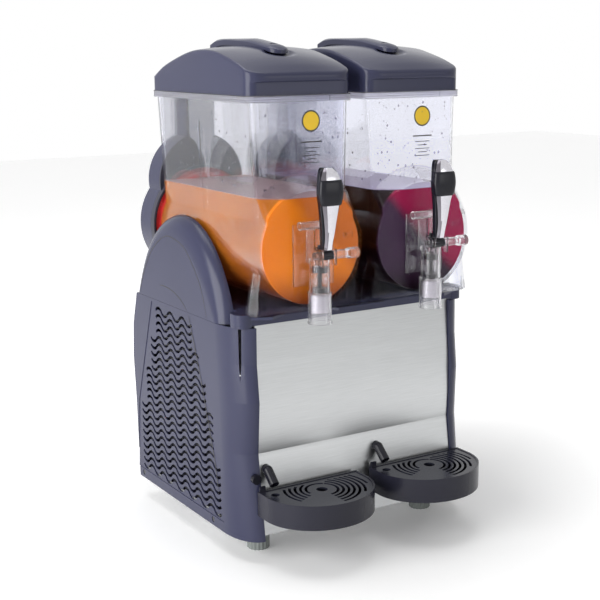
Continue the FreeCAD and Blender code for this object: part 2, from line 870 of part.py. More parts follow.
def lid_profile(spots, x, inset):
    """One upright outline of the lid: its flat bottom and its arched top."""
    top = []
    for y, z in spots:
        y = min(max(y, lid_nose + inset), rim_back - inset)
        top.append(V(x, y, z - inset))
    low = lid_bottom if inset == 0 else lid_bottom - 1
    curve = Part.BSplineCurve()
    curve.interpolate(top)
    back = V(x, top[0].y, low)
    front = V(x, top[-1].y, low)
    return Part.Wire([curve.toShape(), Part.makeLine(top[-1], front), Part.makeLine(front, back),
                      Part.makeLine(back, top[0])])


def lid_form(inset):
    """The lid, or the space in it: arched top over a skirt with round corners."""
    half = rim_half_width - lid_side_inset - inset
    profiles = []
    for step in range(lid_bands + 1):
        share = 2 * step / lid_bands - 1
        spots = []
        for (y, low), (_, high) in zip(lid_side, lid_middle):
            spots.append((y, low + (high - low) * (1 - share ** 2)))
        profiles.append(lid_profile(spots, half * share, inset))
    dome = Part.makeLoft(profiles, True, True)
    low = lid_bottom - 2
    high = lid_bottom + lid_skirt - inset
    back = rim_back - inset
    skirt = rounded_block((-half, half), (rim_front + lid_inset + inset, back), (low, high),
                          rim_corner - inset)
    brow = rounded_block((-half, half), (lid_nose + inset, back), (high, lid_crown + 10), rim_corner - inset)
    return dome.common(fuse([skirt, brow]))


# Handle along the lid's crown, and the finger hollow under its front end
handle_back = 116.0
handle_front = -56.0
handle_half = 15.0
handle_thick = 4.0
handle_lift = 3.0
handle_foot = 12.0
handle_tip = 9.0
hollow_radius = 40.0
hollow_place = -64.0
hollow_depth = 6.0


def crown_at(y):
    """The height of the lid's crown at y."""
    return value_at(sorted(lid_middle), y)


def finger_hollow(inset):
    """The ball that sinks the hollow into the lid, made larger by the inset."""
    height = crown_at(hollow_place) - hollow_depth + hollow_radius
    return Part.makeSphere(hollow_radius + inset, V(0, hollow_place, height))


def lid():
    """The dark lid, hollow and open below, standing on the bowl's rim."""
    outer = lid_form(0).cut(finger_hollow(0))
    return outer.cut(lid_form(lid_wall).cut(finger_hollow(lid_wall)))


def lid_handle():
    """The handle bar along the crown, on two feet, its tip free over the finger hollow."""
    spots = [(y, crown_at(y)) for y in (handle_back, 80.0, 22.0, -20.0, handle_front)]
    upper = [V(-handle_half, y, z + handle_lift + handle_thick) for y, z in spots]
    lower = [V(-handle_half, y, z + handle_lift) for y, z in spots]
    curve_up = Part.BSplineCurve()
    curve_up.interpolate(upper)
    curve_low = Part.BSplineCurve()
    curve_low.interpolate(lower[::-1])
    bar = Part.Face(Part.Wire([curve_up.toShape(), Part.makeLine(upper[-1], lower[-1]), curve_low.toShape(),
                               Part.makeLine(lower[0], upper[0])])).extrude(V(2 * handle_half, 0, 0))
    shapes = [bar]
    for start in (handle_back - handle_foot, handle_front + handle_tip):
        top = crown_at(start + handle_foot / 2)
        shapes.append(block((-handle_half, handle_half), (start, start + handle_foot),
                            (top - handle_foot, top + handle_lift + 1)))
    return fuse(shapes).cut(lid_form(0))


# Tap, about x = 0
plate_half = 32.0
plate_rise = 39.0
plate_top = pivot_height + plate_rise
plate_drop = 14.0
plate_sheet = 3.0
cheek_inner = 9.0
cheek_sheet = 3.0
cheek_round = 9.0
cheek_sink = 6.0
cheek_short = 4.0
inlet_wall = 3.0
barrel_reach = 28.0
cross_left = -26.0
cross_right = 12.0
cross_radius = 6.0
cross_bore = 4.0
cross_set = 9.0
plunger_play = 0.5
plunger_radius = tube_radius - tube_wall - plunger_play
seat_ledge = 3.0


def tap_body():
    """The clear tap: flange plate, inlet, upright tube, two cheeks for the pivot and the cross tube."""
    back = barrel_front - gap
    plate = block((-plate_half, plate_half), (back - plate_sheet, back),
                  (outlet_height - plate_drop, plate_top))
    barrel = rod_z((0, tap_centre), (sleeve_top - barrel_reach, tube_top), tube_radius)
    inlet = rod_y((0, outlet_height), (back, tap_centre), outlet_radius + inlet_wall)
    shapes = [plate, barrel, inlet]
    foot = tube_top - cheek_sink
    for side in (-1, 1):
        x = sorted((side * cheek_inner, side * (cheek_inner + cheek_sheet)))
        shapes.append(block(x, (pivot_y - cheek_round, back - overshoot), (foot, pivot_height + cheek_round)))
        shapes.append(block(x, (tap_centre - cheek_short, back - overshoot), (foot, plate_top - cheek_short)))
    cross_y = back - cross_set
    cross_z = plate_top - overshoot
    shapes.append(rod_x((cross_y, cross_z), (cross_left, cross_right), cross_radius))
    body = fuse(shapes)
    body = body.cut(rod_x((cross_y, cross_z), (cross_left - overshoot, cross_right / 2), cross_bore))
    bore = tube_radius - tube_wall
    body = body.cut(rod_z((0, tap_centre), (sleeve_top, tube_top + overshoot), bore))
    body = body.cut(rod_z((0, tap_centre), (sleeve_bottom, sleeve_top - seat_ledge), bore))
    body = body.cut(rod_z((0, tap_centre), (sleeve_bottom, tube_top), plunger_radius - seat_ledge))
    body = body.cut(rod_y((0, outlet_height), (back + overshoot, tap_centre), outlet_radius))
    body = body.cut(block((-cheek_inner, cheek_inner),
                          (pivot_y - cheek_round - overshoot, back - plate_sheet),
                          (tube_top, plate_top - 2 * cheek_short)))
    across = cheek_inner + cheek_sheet + overshoot
    return body.cut(rod_x((pivot_y, pivot_height), (-across, across), pin_radius))


sleeve_wall = 1.7
sleeve_lip = 2.0
sleeve_bead = 0.9


def spout_sleeve():
    """The clear sleeve round the tube's lower end, with a lip at its top and its bottom."""
    inner = tube_radius + gap
    outer = inner + sleeve_wall
    body = fuse([rod_z((0, tap_centre), (sleeve_bottom, sleeve_top), outer),
                 rod_z((0, tap_centre), (sleeve_top - sleeve_lip, sleeve_top), outer + sleeve_bead),
                 rod_z((0, tap_centre), (sleeve_bottom, sleeve_bottom + sleeve_lip), outer + sleeve_bead)])
    return body.cut(rod_z((0, tap_centre), (sleeve_bottom - overshoot, sleeve_top + overshoot), inner))


cap_drop = 18.0
cap_low = tube_top - cap_drop
cap_height = 8.0
disc_height = 6.0
stem_radius = 3.0
stem_rise = 12.0
head_radius = 6.0
head_low = 5.0
head_high = 9.0


def tap_plunger():
    """The black plunger: seat disc, stem, cap and the head that the lever's fork lifts."""
    return fuse([rod_z((0, tap_centre), (sleeve_top, sleeve_top + disc_height), plunger_radius),
                 rod_z((0, tap_centre), (sleeve_top, pivot_height + stem_rise), stem_radius),
                 rod_z((0, tap_centre), (cap_low, cap_low + cap_height), plunger_radius - plunger_play),
                 rod_z((0, tap_centre), (pivot_height + head_low, pivot_height + head_high), head_radius)])


# Stations of the lever: rise above its pivot, reach in front of the pivot, half width
lever_stations = [(8.0, 3.0, 5.5), (17.0, 5.0, 6.5), (33.0, 8.0, 9.0), (67.0, 11.0, 13.5), (85.0, 12.0, 16.0),
                  (100.0, 11.0, 15.0), (111.0, 8.0, 12.0), (117.0, 4.0, 6.0)]
grip_stations = [(68.0, 11.0, 16.5), (84.0, 12.0, 19.0), (100.0, 11.0, 17.5)]
lever_depth = 8.0
shell_margin = 1.5
hub_play = 0.5
lever_hub = pivot_rise - hub_play
chrome_depth = 5.0
chrome_corner = 2.0
grip_corner = 5.0
grip_front = 2.0
grip_back = 2.0
seam_gap = 0.02
neck_front = 3.0
neck_back = 4.0
neck_rise = 14.0
fork_half = 8.0
fork_slot = 3.6
fork_thick = 4.0
fork_open = 7.0
fork_past = 2.0


def lever_loft(front_shift, back_shift, widen):
    """A part of the lever as a loft of rounded rectangles up its stations."""
    rings = []
    for rise, reach, half in lever_stations:
        y = pivot_y - reach
        rings.append(rounded_outline((-half - widen, half + widen), (y + front_shift, y + back_shift),
                                     chrome_corner, pivot_height + rise))
    return Part.makeLoft(rings, True, False)


def tap_lever():
    """The lever's black back: hub, rising shell and the fork that lifts the plunger."""
    shell = lever_loft(0, lever_depth, shell_margin)
    hub_half = cheek_inner - gap
    hub = rod_x((pivot_y, pivot_height), (-hub_half, hub_half), lever_hub)
    neck_half = lever_stations[0][2]
    neck = block((-neck_half, neck_half), (pivot_y - neck_front, pivot_y + neck_back),
                 (pivot_height, pivot_height + neck_rise))
    fork = block((-fork_half, fork_half), (pivot_y, tap_centre + fork_past),
                 (pivot_height - fork_thick / 2, pivot_height + fork_thick / 2))
    slot = block((-fork_slot, fork_slot), (tap_centre - fork_open, tap_centre + fork_past + overshoot),
                 (pivot_height - fork_thick, pivot_height + fork_thick))
    body = fuse([shell, hub, neck, fork]).cut(slot)
    return body.cut(rod_x((pivot_y, pivot_height), (-cheek_inner, cheek_inner), pin_radius + running))


def lever_stem():
    """The chrome front of the lever, from the pivot to its rounded top."""
    return lever_loft(-chrome_depth, -seam_gap, 0)


def lever_grip():
    """The black band round the lever's head."""
    rings = []
    for rise, reach, half in grip_stations:
        y = pivot_y - reach
        depth = (y - chrome_depth - grip_front, y + lever_depth + grip_back)
        rings.append(rounded_outline((-half, half), depth, grip_corner, pivot_height + rise))
    band = Part.makeLoft(rings, True, False)
    return band.cut(lever_loft(0, lever_depth, shell_margin)).cut(lever_loft(-chrome_depth, 0, 0))


pin_head = 6.0
pin_bead = 1.5
knob_shank = 32.0
knob_gap = 4.0
pin_knob = 14.0
pin_knob_radius = 7.5


def pivot_pin():
    """The pin through cheeks and lever, with a round head and a knob to pull it by."""
    outer = cheek_inner + cheek_sheet
    knob_start = knob_shank + knob_gap
    knob_end = knob_start + pin_knob
    return fuse([rod_x((pivot_y, pivot_height), (-outer - pin_head, knob_end), pin_radius),
                 rod_x((pivot_y, pivot_height), (-outer - pin_head, -outer), pin_radius + pin_bead),
                 rod_x((pivot_y, pivot_height), (outer, knob_shank), pin_head),
                 rod_x((pivot_y, pivot_height), (knob_start, knob_end), pin_knob_radius)])


# Drip tray and grid, about x = 0
tray_straight = 26.0
ledge = 3.0
ledge_thick = 6.0
grid_sink = 1.0
grid_low = tray_top - grid_sink - grid_thickness
tray_tab = (2.5, 11.5)
tab_height = 7.0


def tray_outline(inset, height):
    """The tray's plan: a straight back and a half ellipse in front."""
    half = tray_half - inset
    centre = V(0, tray_back - tray_straight, height)
    depth = tray_depth - tray_straight - inset
    back = tray_back - inset
    curve = Part.ArcOfEllipse(Part.Ellipse(centre, half, depth), math.pi, 2 * math.pi).toShape()
    left = V(-half, centre.y, height)
    right = V(half, centre.y, height)
    return Part.Wire([curve, Part.makeLine(right, V(half, back, height)),
                      Part.makeLine(V(half, back, height), V(-half, back, height)),
                      Part.makeLine(V(-half, back, height), left)])


def tray_layer(inset, low, high):
    """The tray's plan as a solid between two heights."""
    return Part.Face(tray_outline(inset, low)).extrude(V(0, 0, high - low))


def drip_tray():
    """The drip tray: a half-round tub with a ledge for its grid and two hooks at its back."""
    bottom = tray_top - tray_height
    floor = bottom + tray_wall
    body = tray_layer(0, bottom, tray_top).cut(tray_layer(tray_wall + ledge, floor, tray_top + overshoot))
    body = body.cut(tray_layer(tray_wall, grid_low - gap, tray_top + overshoot))
    body = body.cut(tray_layer(tray_wall, floor, grid_low - ledge_thick))
    shapes = [body, block((tray_tab[0] - tray_half, tray_tab[1] - tray_half),
                          (tray_back - tray_wall, tray_back), (tray_top, tray_top + tab_height))]
    for aside in (-hook_aside, hook_aside):
        shapes.append(block((aside - hook_width / 2, aside + hook_width / 2),
                            (tray_back, tray_back + hook_reach),
                            (hook_height - hook_rise / 2, hook_height + hook_rise / 2)))
    return fuse(shapes)


grid_centre = -162.0
grid_hole = 8.0
finger_hole = 6.0
finger_inset = 16.5
finger_y = -146.0
finger_clear = 4.0
slot_width = 4.0
slot_step = 7.6
slot_first = 15.0
slot_margin = 5.0
slot_turn = 2
slot_longest = 70
slot_shortest = 40.0
smooth_from = 206
smooth_to = 272


def inside_tray(x, y, margin):
    """Whether a point lies in the tray's plan, away from its edge."""
    half = tray_half - margin
    depth = tray_depth - tray_straight - margin
    mid = tray_back - tray_straight
    if y > tray_back - margin:
        return False
    if y > mid:
        return abs(x) < half
    return (x / half) ** 2 + ((y - mid) / depth) ** 2 < 1


def slot_free(radius, degree):
    """Whether a ring slot may pass at this radius and angle."""
    angle = math.radians(degree)
    for reach in (radius - slot_width / 2, radius + slot_width / 2):
        x = reach * math.cos(angle)
        y = grid_centre + reach * math.sin(angle)
        if not inside_tray(x, y, tray_wall + slot_margin):
            return False
        if math.hypot(x + tray_half - finger_inset, y - finger_y) < finger_hole + finger_clear:
            return False
    return True


def ring_slots(height):
    """The concentric slots of the grid, as closed outlines at one height."""
    wires = []
    radius = slot_first
    while radius < tray_half:
        runs = []
        run = []
        for degree in range(smooth_to, smooth_from + 361, slot_turn):
            if slot_free(radius, degree) and len(run) < slot_longest:
                run.append(degree)
            else:
                runs.append(run)
                run = []
        runs.append(run)
        for run in runs:
            if len(run) * math.radians(slot_turn) * radius < slot_shortest:
                continue
            start, end = math.radians(run[0]), math.radians(run[-1])
            middle = (start + end) / 2
            inner, outer = radius - slot_width / 2, radius + slot_width / 2

            def spot(reach, angle):
                return V(reach * math.cos(angle), grid_centre + reach * math.sin(angle), height)

            wires.append(Part.Wire([
                Part.Arc(spot(inner, start), spot(inner, middle), spot(inner, end)).toShape(),
                Part.makeLine(spot(inner, end), spot(outer, end)),
                Part.Arc(spot(outer, end), spot(outer, middle), spot(outer, start)).toShape(),
                Part.makeLine(spot(outer, start), spot(inner, start))]))
        radius += slot_step
    return wires


def drip_grid():
    """The grid: ring slots round a centre hole, a smooth sector in front and a finger hole."""
    holes = [Part.Wire(Part.makeCircle(grid_hole, V(0, grid_centre, grid_low))),
             Part.Wire(Part.makeCircle(finger_hole, V(finger_inset - tray_half, finger_y, grid_low)))]
    outlines = [tray_outline(tray_wall + gap, grid_low)] + holes + ring_slots(grid_low)
    return Part.makeFace(outlines, "Part::FaceMakerBullseye").extrude(V(0, 0, grid_thickness))


spout_reach = 24.0
spout_drop = 16.0
spout_bend = 6.0
spout_inside = 14.0


def drain_spout(centre):
    """A black drain spout: a stub through the steel, then a bend forward and down."""
    x = centre - spout_aside
    face = panel_y(spout_height)
    start = V(x, face + spout_inside, spout_height)
    bend = V(x, face - spout_bend, spout_height)
    end = V(x, face - spout_reach, spout_height - spout_drop)
    body = fuse([rod(start, bend, spout_radius), Part.makeSphere(spout_radius, bend),
                 rod(bend, end, spout_radius)])
    bore = fuse([rod(start, bend, spout_bore), Part.makeSphere(spout_bore, bend), rod(bend, end, spout_bore)])
    return body.cut(bore)


# Machinery inside the body
floor_top = foot_height + sheet
compressor_x = -70.0
compressor_y = 60.0
can_low = 12.0
can_high = 140.0
compressor_radius = 58.0
compressor_round = 18.0
base_long = 70.0
base_thick = 3.0
base_round = 12.0
base_neck = 40.0
stub_height = 120.0
stub_radius = 5.0
stub_reach = 12.0

condenser_inset = 14.0
condenser_depth = 26.0
condenser_low_y = -30.0
condenser_high_y = 150.0
condenser_height = 230.0
condenser_sheet = 3.0
condenser_out = half_width - condenser_inset
condenser_in = condenser_out - condenser_depth
condenser_x = (condenser_out + condenser_in) / 2
fins = 22
fin_thick = 0.8
fin_inset = 2.0
tube_rows = 8
tube_first = 14.0
tube_step = 28.0
tube_proud = 6.0
coil_radius = 4.0

shroud_depth = 15.7
shroud_back = condenser_in - gap
shroud_front = shroud_back - shroud_depth
fan_radius = 84.0
fan_clear = 3.0
fan_set = 16.0
fan_x = shroud_front - fan_set
fan_axis_y = (condenser_low_y + condenser_high_y) / 2
fan_axis_z = floor_top + condenser_height / 2 + 3.0
fan_hub = 20.0
fan_hub_length = 14.0
blade_count = 5
blade_half = 22.0
blade_low = 15.0
tip_inset = 4.0
blade_set = 5.0
blade_sheet = 2.0
blade_slant = 14.0
fan_shaft = 4.0
shaft_reach = 9.0
motor_radius = 30.0
motor_length = 45.0
motor_gap = 3.0
leg_half = 20.0
leg_depth = 20.0
leg_set = 16.0
leg_foot = 8.0


def compressor():
    """The compressor: a welded can on a flat base with a pipe stub."""
    x, y = compressor_x, compressor_y
    can = rod_z((x, y), (floor_top + can_low, floor_top + can_high), compressor_radius)
    can = can.makeFillet(compressor_round, can.Edges)
    base = rounded_block((x - base_long, x + base_long), (y - base_long, y + base_long),
                         (floor_top, floor_top + base_thick), base_round)
    neck = rod_z((x, y), (floor_top, floor_top + can_low + compressor_round), base_neck)
    height = floor_top + stub_height
    stub = rod_y((x, height), (y + base_neck, y + compressor_radius + stub_reach), stub_radius)
    return fuse([can, base, neck, stub])


def condenser():
    """The finned condenser at the right side."""
    x = (condenser_in, condenser_out)
    y = (condenser_low_y, condenser_high_y)
    low, high = floor_top, floor_top + condenser_height
    shapes = [block(x, (y[0], y[0] + condenser_sheet), (low, high)),
              block(x, (y[1] - condenser_sheet, y[1]), (low, high)),
              block(x, y, (low, low + condenser_sheet)),
              block(x, y, (high - condenser_sheet, high))]
    for index in range(1, fins):
        z = low + condenser_height * index / fins
        shapes.append(block((x[0] + fin_inset, x[1] - fin_inset), y, (z, z + fin_thick)))
    for row in range(tube_rows):
        z = low + tube_first + row * tube_step
        shapes.append(rod_y((condenser_x, z), (y[0] - tube_proud, y[1] + tube_proud), coil_radius))
    return fuse(shapes)


def fan_shroud():
    """The square shroud with its round opening, between fan and condenser."""
    y = (condenser_low_y, condenser_high_y)
    high = floor_top + condenser_height
    body = block((shroud_front, shroud_back), y, (floor_top, high))
    body = body.cut(block((shroud_front + sheet, shroud_back + overshoot), (y[0] + sheet, y[1] - sheet),
                          (floor_top + sheet, high - sheet)))
    through = (shroud_front - overshoot, shroud_front + sheet + overshoot)
    return body.cut(rod_x((fan_axis_y, fan_axis_z), through, fan_radius + fan_clear))


def fan_blade():
    """The fan: a hub with slanted blades."""
    shapes = [rod_x((fan_axis_y, fan_axis_z), (fan_x, fan_x + fan_hub_length), fan_hub)]
    middle = fan_x + blade_set + blade_sheet / 2
    for index in range(blade_count):
        blade = block((fan_x + blade_set, fan_x + blade_set + blade_sheet),
                      (fan_axis_y - blade_half, fan_axis_y + blade_half),
                      (fan_axis_z + blade_low, fan_axis_z + fan_radius - tip_inset))
        blade.rotate(V(middle, fan_axis_y, fan_axis_z), V(0, 0, 1), blade_slant)
        blade.rotate(V(fan_x, fan_axis_y, fan_axis_z), V(1, 0, 0), 360 * index / blade_count)
        shapes.append(blade)
    deep = (fan_x - overshoot, fan_x + shaft_reach + overshoot)
    return fuse(shapes).cut(rod_x((fan_axis_y, fan_axis_z), deep, fan_shaft + running))


def fan_motor():
    """The fan motor on its floor bracket, with the shaft that carries the fan."""
    front = fan_x - motor_gap
    leg_end = fan_x - leg_set
    can = rod_x((fan_axis_y, fan_axis_z), (front - motor_length, front), motor_radius)
    shaft = rod_x((fan_axis_y, fan_axis_z), (front, fan_x + shaft_reach), fan_shaft)
    leg = block((leg_end - leg_depth, leg_end), (fan_axis_y - leg_half, fan_axis_y + leg_half),
                (floor_top, fan_axis_z))
    foot = block((leg_end - leg_depth - leg_foot, leg_end + leg_foot),
                 (fan_axis_y - leg_half - leg_foot, fan_axis_y + leg_half + leg_foot),
                 (floor_top, floor_top + base_thick))
    return fuse([can, shaft, leg, foot])


controls_inset = 6.0
controls_size = (52.0, 100.0, 80.0)
controls_front = -60.0
controls_round = 5.0


def control_box():
    """The box of the controls, under the ring's left side."""
    top = seam_height - sheet
    left = controls_inset - chassis_front_half
    return rounded_block((left, left + controls_size[0]), (controls_front, controls_front + controls_size[1]),
                         (top - controls_size[2], top), controls_round)


def pipe_run(route, radius):
    """A pipe of straight runs with a ball at each bend."""
    shapes = []
    for start, end in zip(route, route[1:]):
        shapes.append(rod(start, end, radius))
    for spot in route[1:-1]:
        shapes.append(Part.makeSphere(radius, V(*spot)))
    return fuse(shapes)


pipe_below = 40.0
suction_y = chassis_back - 38.0
suction_radius = 4.0
liquid_y = chassis_back - 33.0
liquid_radius = 3.0


def refrigerant_pipes():
    """The suction pipe and the liquid pipe between compressor, condenser and drums."""
    start = compressor_y + compressor_radius + stub_reach
    low = floor_top + stub_height
    top = seam_height - pipe_below
    suction = pipe_run([(compressor_x, start, low), (compressor_x, suction_y, low),
                        (compressor_x, suction_y, top)], suction_radius)
    high = floor_top + tube_first + (tube_rows - 1) * tube_step
    liquid = pipe_run([(condenser_x, condenser_high_y + tube_proud, high), (condenser_x, liquid_y, high),
                       (bowl_x, liquid_y, high), (bowl_x, liquid_y, top)], liquid_radius)
    return Part.makeCompound([suction, liquid])


knob_inset = 24.0
knob_x = knob_inset - half_width
knob_z = 123.0
knob_radius = 7.0
knob_height = 7.0
knob_stem = 3.0
knob_reach = 12.0


def column_knob():
    """The black round knob on the left column."""
    face = value_at(front_profile, knob_z)
    return fuse([rod_y((knob_x, knob_z), (face - knob_height, face - gap), knob_radius),
                 rod_y((knob_x, knob_z), (face - gap, face + knob_reach), knob_stem)])


def knob_hole(panel):
    """The left column with the hole for its knob."""
    face = value_at(front_profile, knob_z)
    return panel.cut(rod_y((knob_x, knob_z), (face - wall, face + knob_reach), knob_stem + running))


def both(name, shape):
    """Two nodes of a shape made about x = 0, one for each bowl."""
    return {name + "_left": moved(shape, -bowl_x), name + "_right": moved(shape, bowl_x)}


def sides(name, shape):
    """Two nodes of a shape made for the right side, the left one its mirror image."""
    return {name + "_left": mirrored(shape), name + "_right": shape}


def model():
    """Every node of the machine by name."""
    nodes = {
        "chassis_frame": chassis_frame(), "bulkhead": bulkhead(), "rear_panel": rear_panel(),
        "top_deck": top_deck(),
        "front_panel": front_panel(), "feet": feet(), "panel_screws": panel_screws(),
        "cord_gland": cord_gland(),
        "drain_spouts": Part.makeCompound([drain_spout(-bowl_x), drain_spout(bowl_x)]),
        "compressor": compressor(), "condenser": condenser(), "fan_shroud": fan_shroud(),
        "fan_blade": fan_blade(),
        "fan_motor": fan_motor(), "control_box": control_box(), "refrigerant_pipes": refrigerant_pipes(),
        "column_knob": column_knob(),
        "shaft_seals": Part.makeCompound([moved(shaft_seal(), -bowl_x), moved(shaft_seal(), bowl_x)]),
    }
    lower = drill_screws(lower_side_panel())
    panels = sides("lower_side_panel", lower)
    panels["lower_side_panel_left"] = knob_hole(panels["lower_side_panel_left"])
    nodes.update(panels)
    nodes.update(sides("upper_arch", upper_arch()))
    for name, make in (("motor_cover", motor_cover), ("evaporator_drum", evaporator_drum), ("auger", auger),
                       ("drive_shaft", drive_shaft), ("gear_motor", gear_motor), ("bowl_gasket", bowl_gasket),
                       ("bowl", bowl), ("lid", lid), ("lid_handle", lid_handle), ("tap_body", tap_body),
                       ("spout_sleeve", spout_sleeve), ("tap_plunger", tap_plunger), ("tap_lever", tap_lever),
                       ("lever_stem", lever_stem), ("lever_grip", lever_grip), ("pivot_pin", pivot_pin),
                       ("drip_tray", drip_tray), ("drip_grid", drip_grid)):
        nodes.update(both(name, make()))
    return nodes


os.makedirs("parts", exist_ok=True)
nodes = model()
for node, shape in nodes.items():
    shape.exportStep("parts/" + node + ".step")
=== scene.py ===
import bmesh
import bpy
import json
import math
import random
from mathutils import Matrix, Vector


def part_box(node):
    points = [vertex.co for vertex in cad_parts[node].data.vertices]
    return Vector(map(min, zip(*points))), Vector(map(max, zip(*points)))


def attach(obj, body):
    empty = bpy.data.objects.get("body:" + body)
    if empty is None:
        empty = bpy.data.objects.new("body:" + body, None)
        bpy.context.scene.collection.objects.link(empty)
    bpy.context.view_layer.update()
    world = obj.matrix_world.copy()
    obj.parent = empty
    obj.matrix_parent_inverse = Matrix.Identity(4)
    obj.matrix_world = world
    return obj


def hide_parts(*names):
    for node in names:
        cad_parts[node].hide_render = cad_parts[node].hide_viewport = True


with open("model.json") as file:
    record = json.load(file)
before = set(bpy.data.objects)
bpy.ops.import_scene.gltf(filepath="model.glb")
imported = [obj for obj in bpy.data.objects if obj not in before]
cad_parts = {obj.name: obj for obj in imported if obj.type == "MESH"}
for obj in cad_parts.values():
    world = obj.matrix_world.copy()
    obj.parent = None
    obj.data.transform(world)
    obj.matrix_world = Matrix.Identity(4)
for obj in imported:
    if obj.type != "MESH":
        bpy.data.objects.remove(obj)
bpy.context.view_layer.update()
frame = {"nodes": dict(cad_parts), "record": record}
nodes = frame["nodes"]

# Each side and its sign along x. Lengths are in metres, but for the lens, and angles in degrees.
SIDES = {"left": -1, "right": 1}

# Camera of the photograph, with its lens and sensor in millimetres
CAMERA_PLACE = (-0.9644, -1.5125, 0.7129)
CAMERA_AZIMUTH = -31.77
CAMERA_ELEVATION = 11.89
CAMERA_ROLL = -0.38
CAMERA_LENS = 73.05
CAMERA_RANGE = 50
SENSOR_WIDTH = 36.0

# Colours, and the steel's painted reflection as pairs of height and brightness: darker at the bottom, in a
# narrow band at the fold and towards the top
ANTHRACITE = (0.034, 0.036, 0.072)
BLACK = (0.007, 0.007, 0.012)
STEEL = (0.50, 0.51, 0.515)
STEEL_PAINTED_REFLECTION = [(0.04, 0.8), (0.150, 0.95), (0.156, 0.82), (0.165, 1.0), (0.19, 1.0), (0.26, 0.86),
               (0.34, 0.76)]
FLOOR_WHITE = (0.93, 0.93, 0.93)
FLOOR_BRIGHT = (0.96, 0.96, 0.96)

# Surfaces: noise scales per metre, the spread of tones and gloss, and the height of relief
TONE_FROM = 0.3
TONE_TO = 0.7
CLOUD_SCALE = 9.0
GLOSS_SCALE = 30.0
GLOSS_SPREAD = 0.015
GRAIN_SCALE = 900.0
GRAIN_DETAIL = 2.0
GRAIN_RELIEF = 0.04
GRAIN_HEIGHT = 0.0004
STREAK_SCALE = 9.0
STREAK_DETAIL = 5.0
STREAK_DARK = 0.9
STREAK_LIGHT = 1.06
STREAK_SMOOTHER = 0.06
STREAK_ROUGHER = 0.1
STREAK_HEIGHT = 0.0003
HAZE_SCALE = 60.0
HAZE_SPREAD = 0.05
WAVE_SCALE = 25.0
WAVE_DETAIL = 1.0
WAVE_RELIEF = 0.08
WAVE_HEIGHT = 0.001


# Shader nodes: an owner is a material or the world

def add_node(owner, kind):
    """A new shader node."""
    return owner.node_tree.nodes.new("ShaderNode" + kind)


def put(owner, value, socket):
    """Links a node's output to a socket, or sets the socket to a number or a colour."""
    if isinstance(value, bpy.types.NodeSocket):
        owner.node_tree.links.new(value, socket)
    else:
        socket.default_value = (*value, 1.0) if isinstance(value, tuple) else value


def material(name, color, roughness, metallic=0.0):
    """A material with its shader's own values, and the shader's sockets."""
    mat = bpy.data.materials.new(name)
    mat.use_nodes = True
    sockets = mat.node_tree.nodes["Principled BSDF"].inputs
    put(mat, color, sockets["Base Color"])
    put(mat, roughness, sockets["Roughness"])
    put(mat, metallic, sockets["Metallic"])
    return mat, sockets


def place_nodes(mat, stretch=(1, 1, 1)):
    """The object's own coordinates, stretched along each axis."""
    coordinates = add_node(mat, "TexCoord")
    mapping = add_node(mat, "Mapping")
    mapping.inputs["Scale"].default_value = stretch
    put(mat, coordinates.outputs["Object"], mapping.inputs["Vector"])
    return mapping.outputs["Vector"]


def place_value(mat, axis):
    """One of the object's own coordinates: X, Y or Z."""
    split = add_node(mat, "SeparateXYZ")
    put(mat, place_nodes(mat), split.inputs["Vector"])
    return split.outputs[axis]


def noise(mat, vector, scale, detail=3.0):
    """A noise texture's value."""
    node = add_node(mat, "TexNoise")
    put(mat, scale, node.inputs["Scale"])
    put(mat, detail, node.inputs["Detail"])
    put(mat, vector, node.inputs["Vector"])
    return node.outputs["Fac"]


def ramp(mat, value, stops):
    """A colour ramp over a value, with (position, colour) stops."""
    node = add_node(mat, "ValToRGB")
    elements = node.color_ramp.elements
    while len(elements) < len(stops):
        elements.new(0.5)
    for element, (position, color) in zip(elements, stops):
        element.position = position
        element.color = (*color, 1.0)
    put(mat, value, node.inputs["Fac"])
    return node.outputs["Color"]


def two_tones(mat, value, low, high):
    """A noise value as a change between two colours."""
    return ramp(mat, value, [(TONE_FROM, low), (TONE_TO, high)])


def map_range(owner, value, source=(0.0, 1.0), target=(0.0, 1.0), smooth=False):
    """A value moved from one range to another, evenly or as a smooth step."""
    node = add_node(owner, "MapRange")
    if smooth:
        node.interpolation_type = "SMOOTHSTEP"
    for names, limits in ((("From Min", "From Max"), source), (("To Min", "To Max"), target)):
        for name, limit in zip(names, limits):
            put(owner, limit, node.inputs[name])
    put(owner, value, node.inputs["Value"])
    return node.outputs["Result"]


def combine(owner, operation, first, second):
    """Two values, or a value and a number, joined by a sum, product or the like."""
    node = add_node(owner, "Math")
    node.operation = operation
    put(owner, first, node.inputs[0])
    put(owner, second, node.inputs[1])
    return node.outputs["Value"]


def blend(mat, factor, first, second, mode="MIX"):
    """A colour that goes from one to another as a factor goes from 0 to 1."""
    node = add_node(mat, "MixRGB")
    node.blend_type = mode
    put(mat, factor, node.inputs["Fac"])
    put(mat, first, node.inputs["Color1"])
    put(mat, second, node.inputs["Color2"])
    return node.outputs["Color"]


def bump(mat, sockets, value, strength, height):
    """Relief from a value, on the shader's normal."""
    node = add_node(mat, "Bump")
    put(mat, strength, node.inputs["Strength"])
    put(mat, height, node.inputs["Distance"])
    put(mat, value, node.inputs["Height"])
    put(mat, node.outputs["Normal"], sockets["Normal"])


# Materials

def shade(color, factor):
    """A colour made lighter or darker."""
    return tuple(min(1.0, c * factor) for c in color)


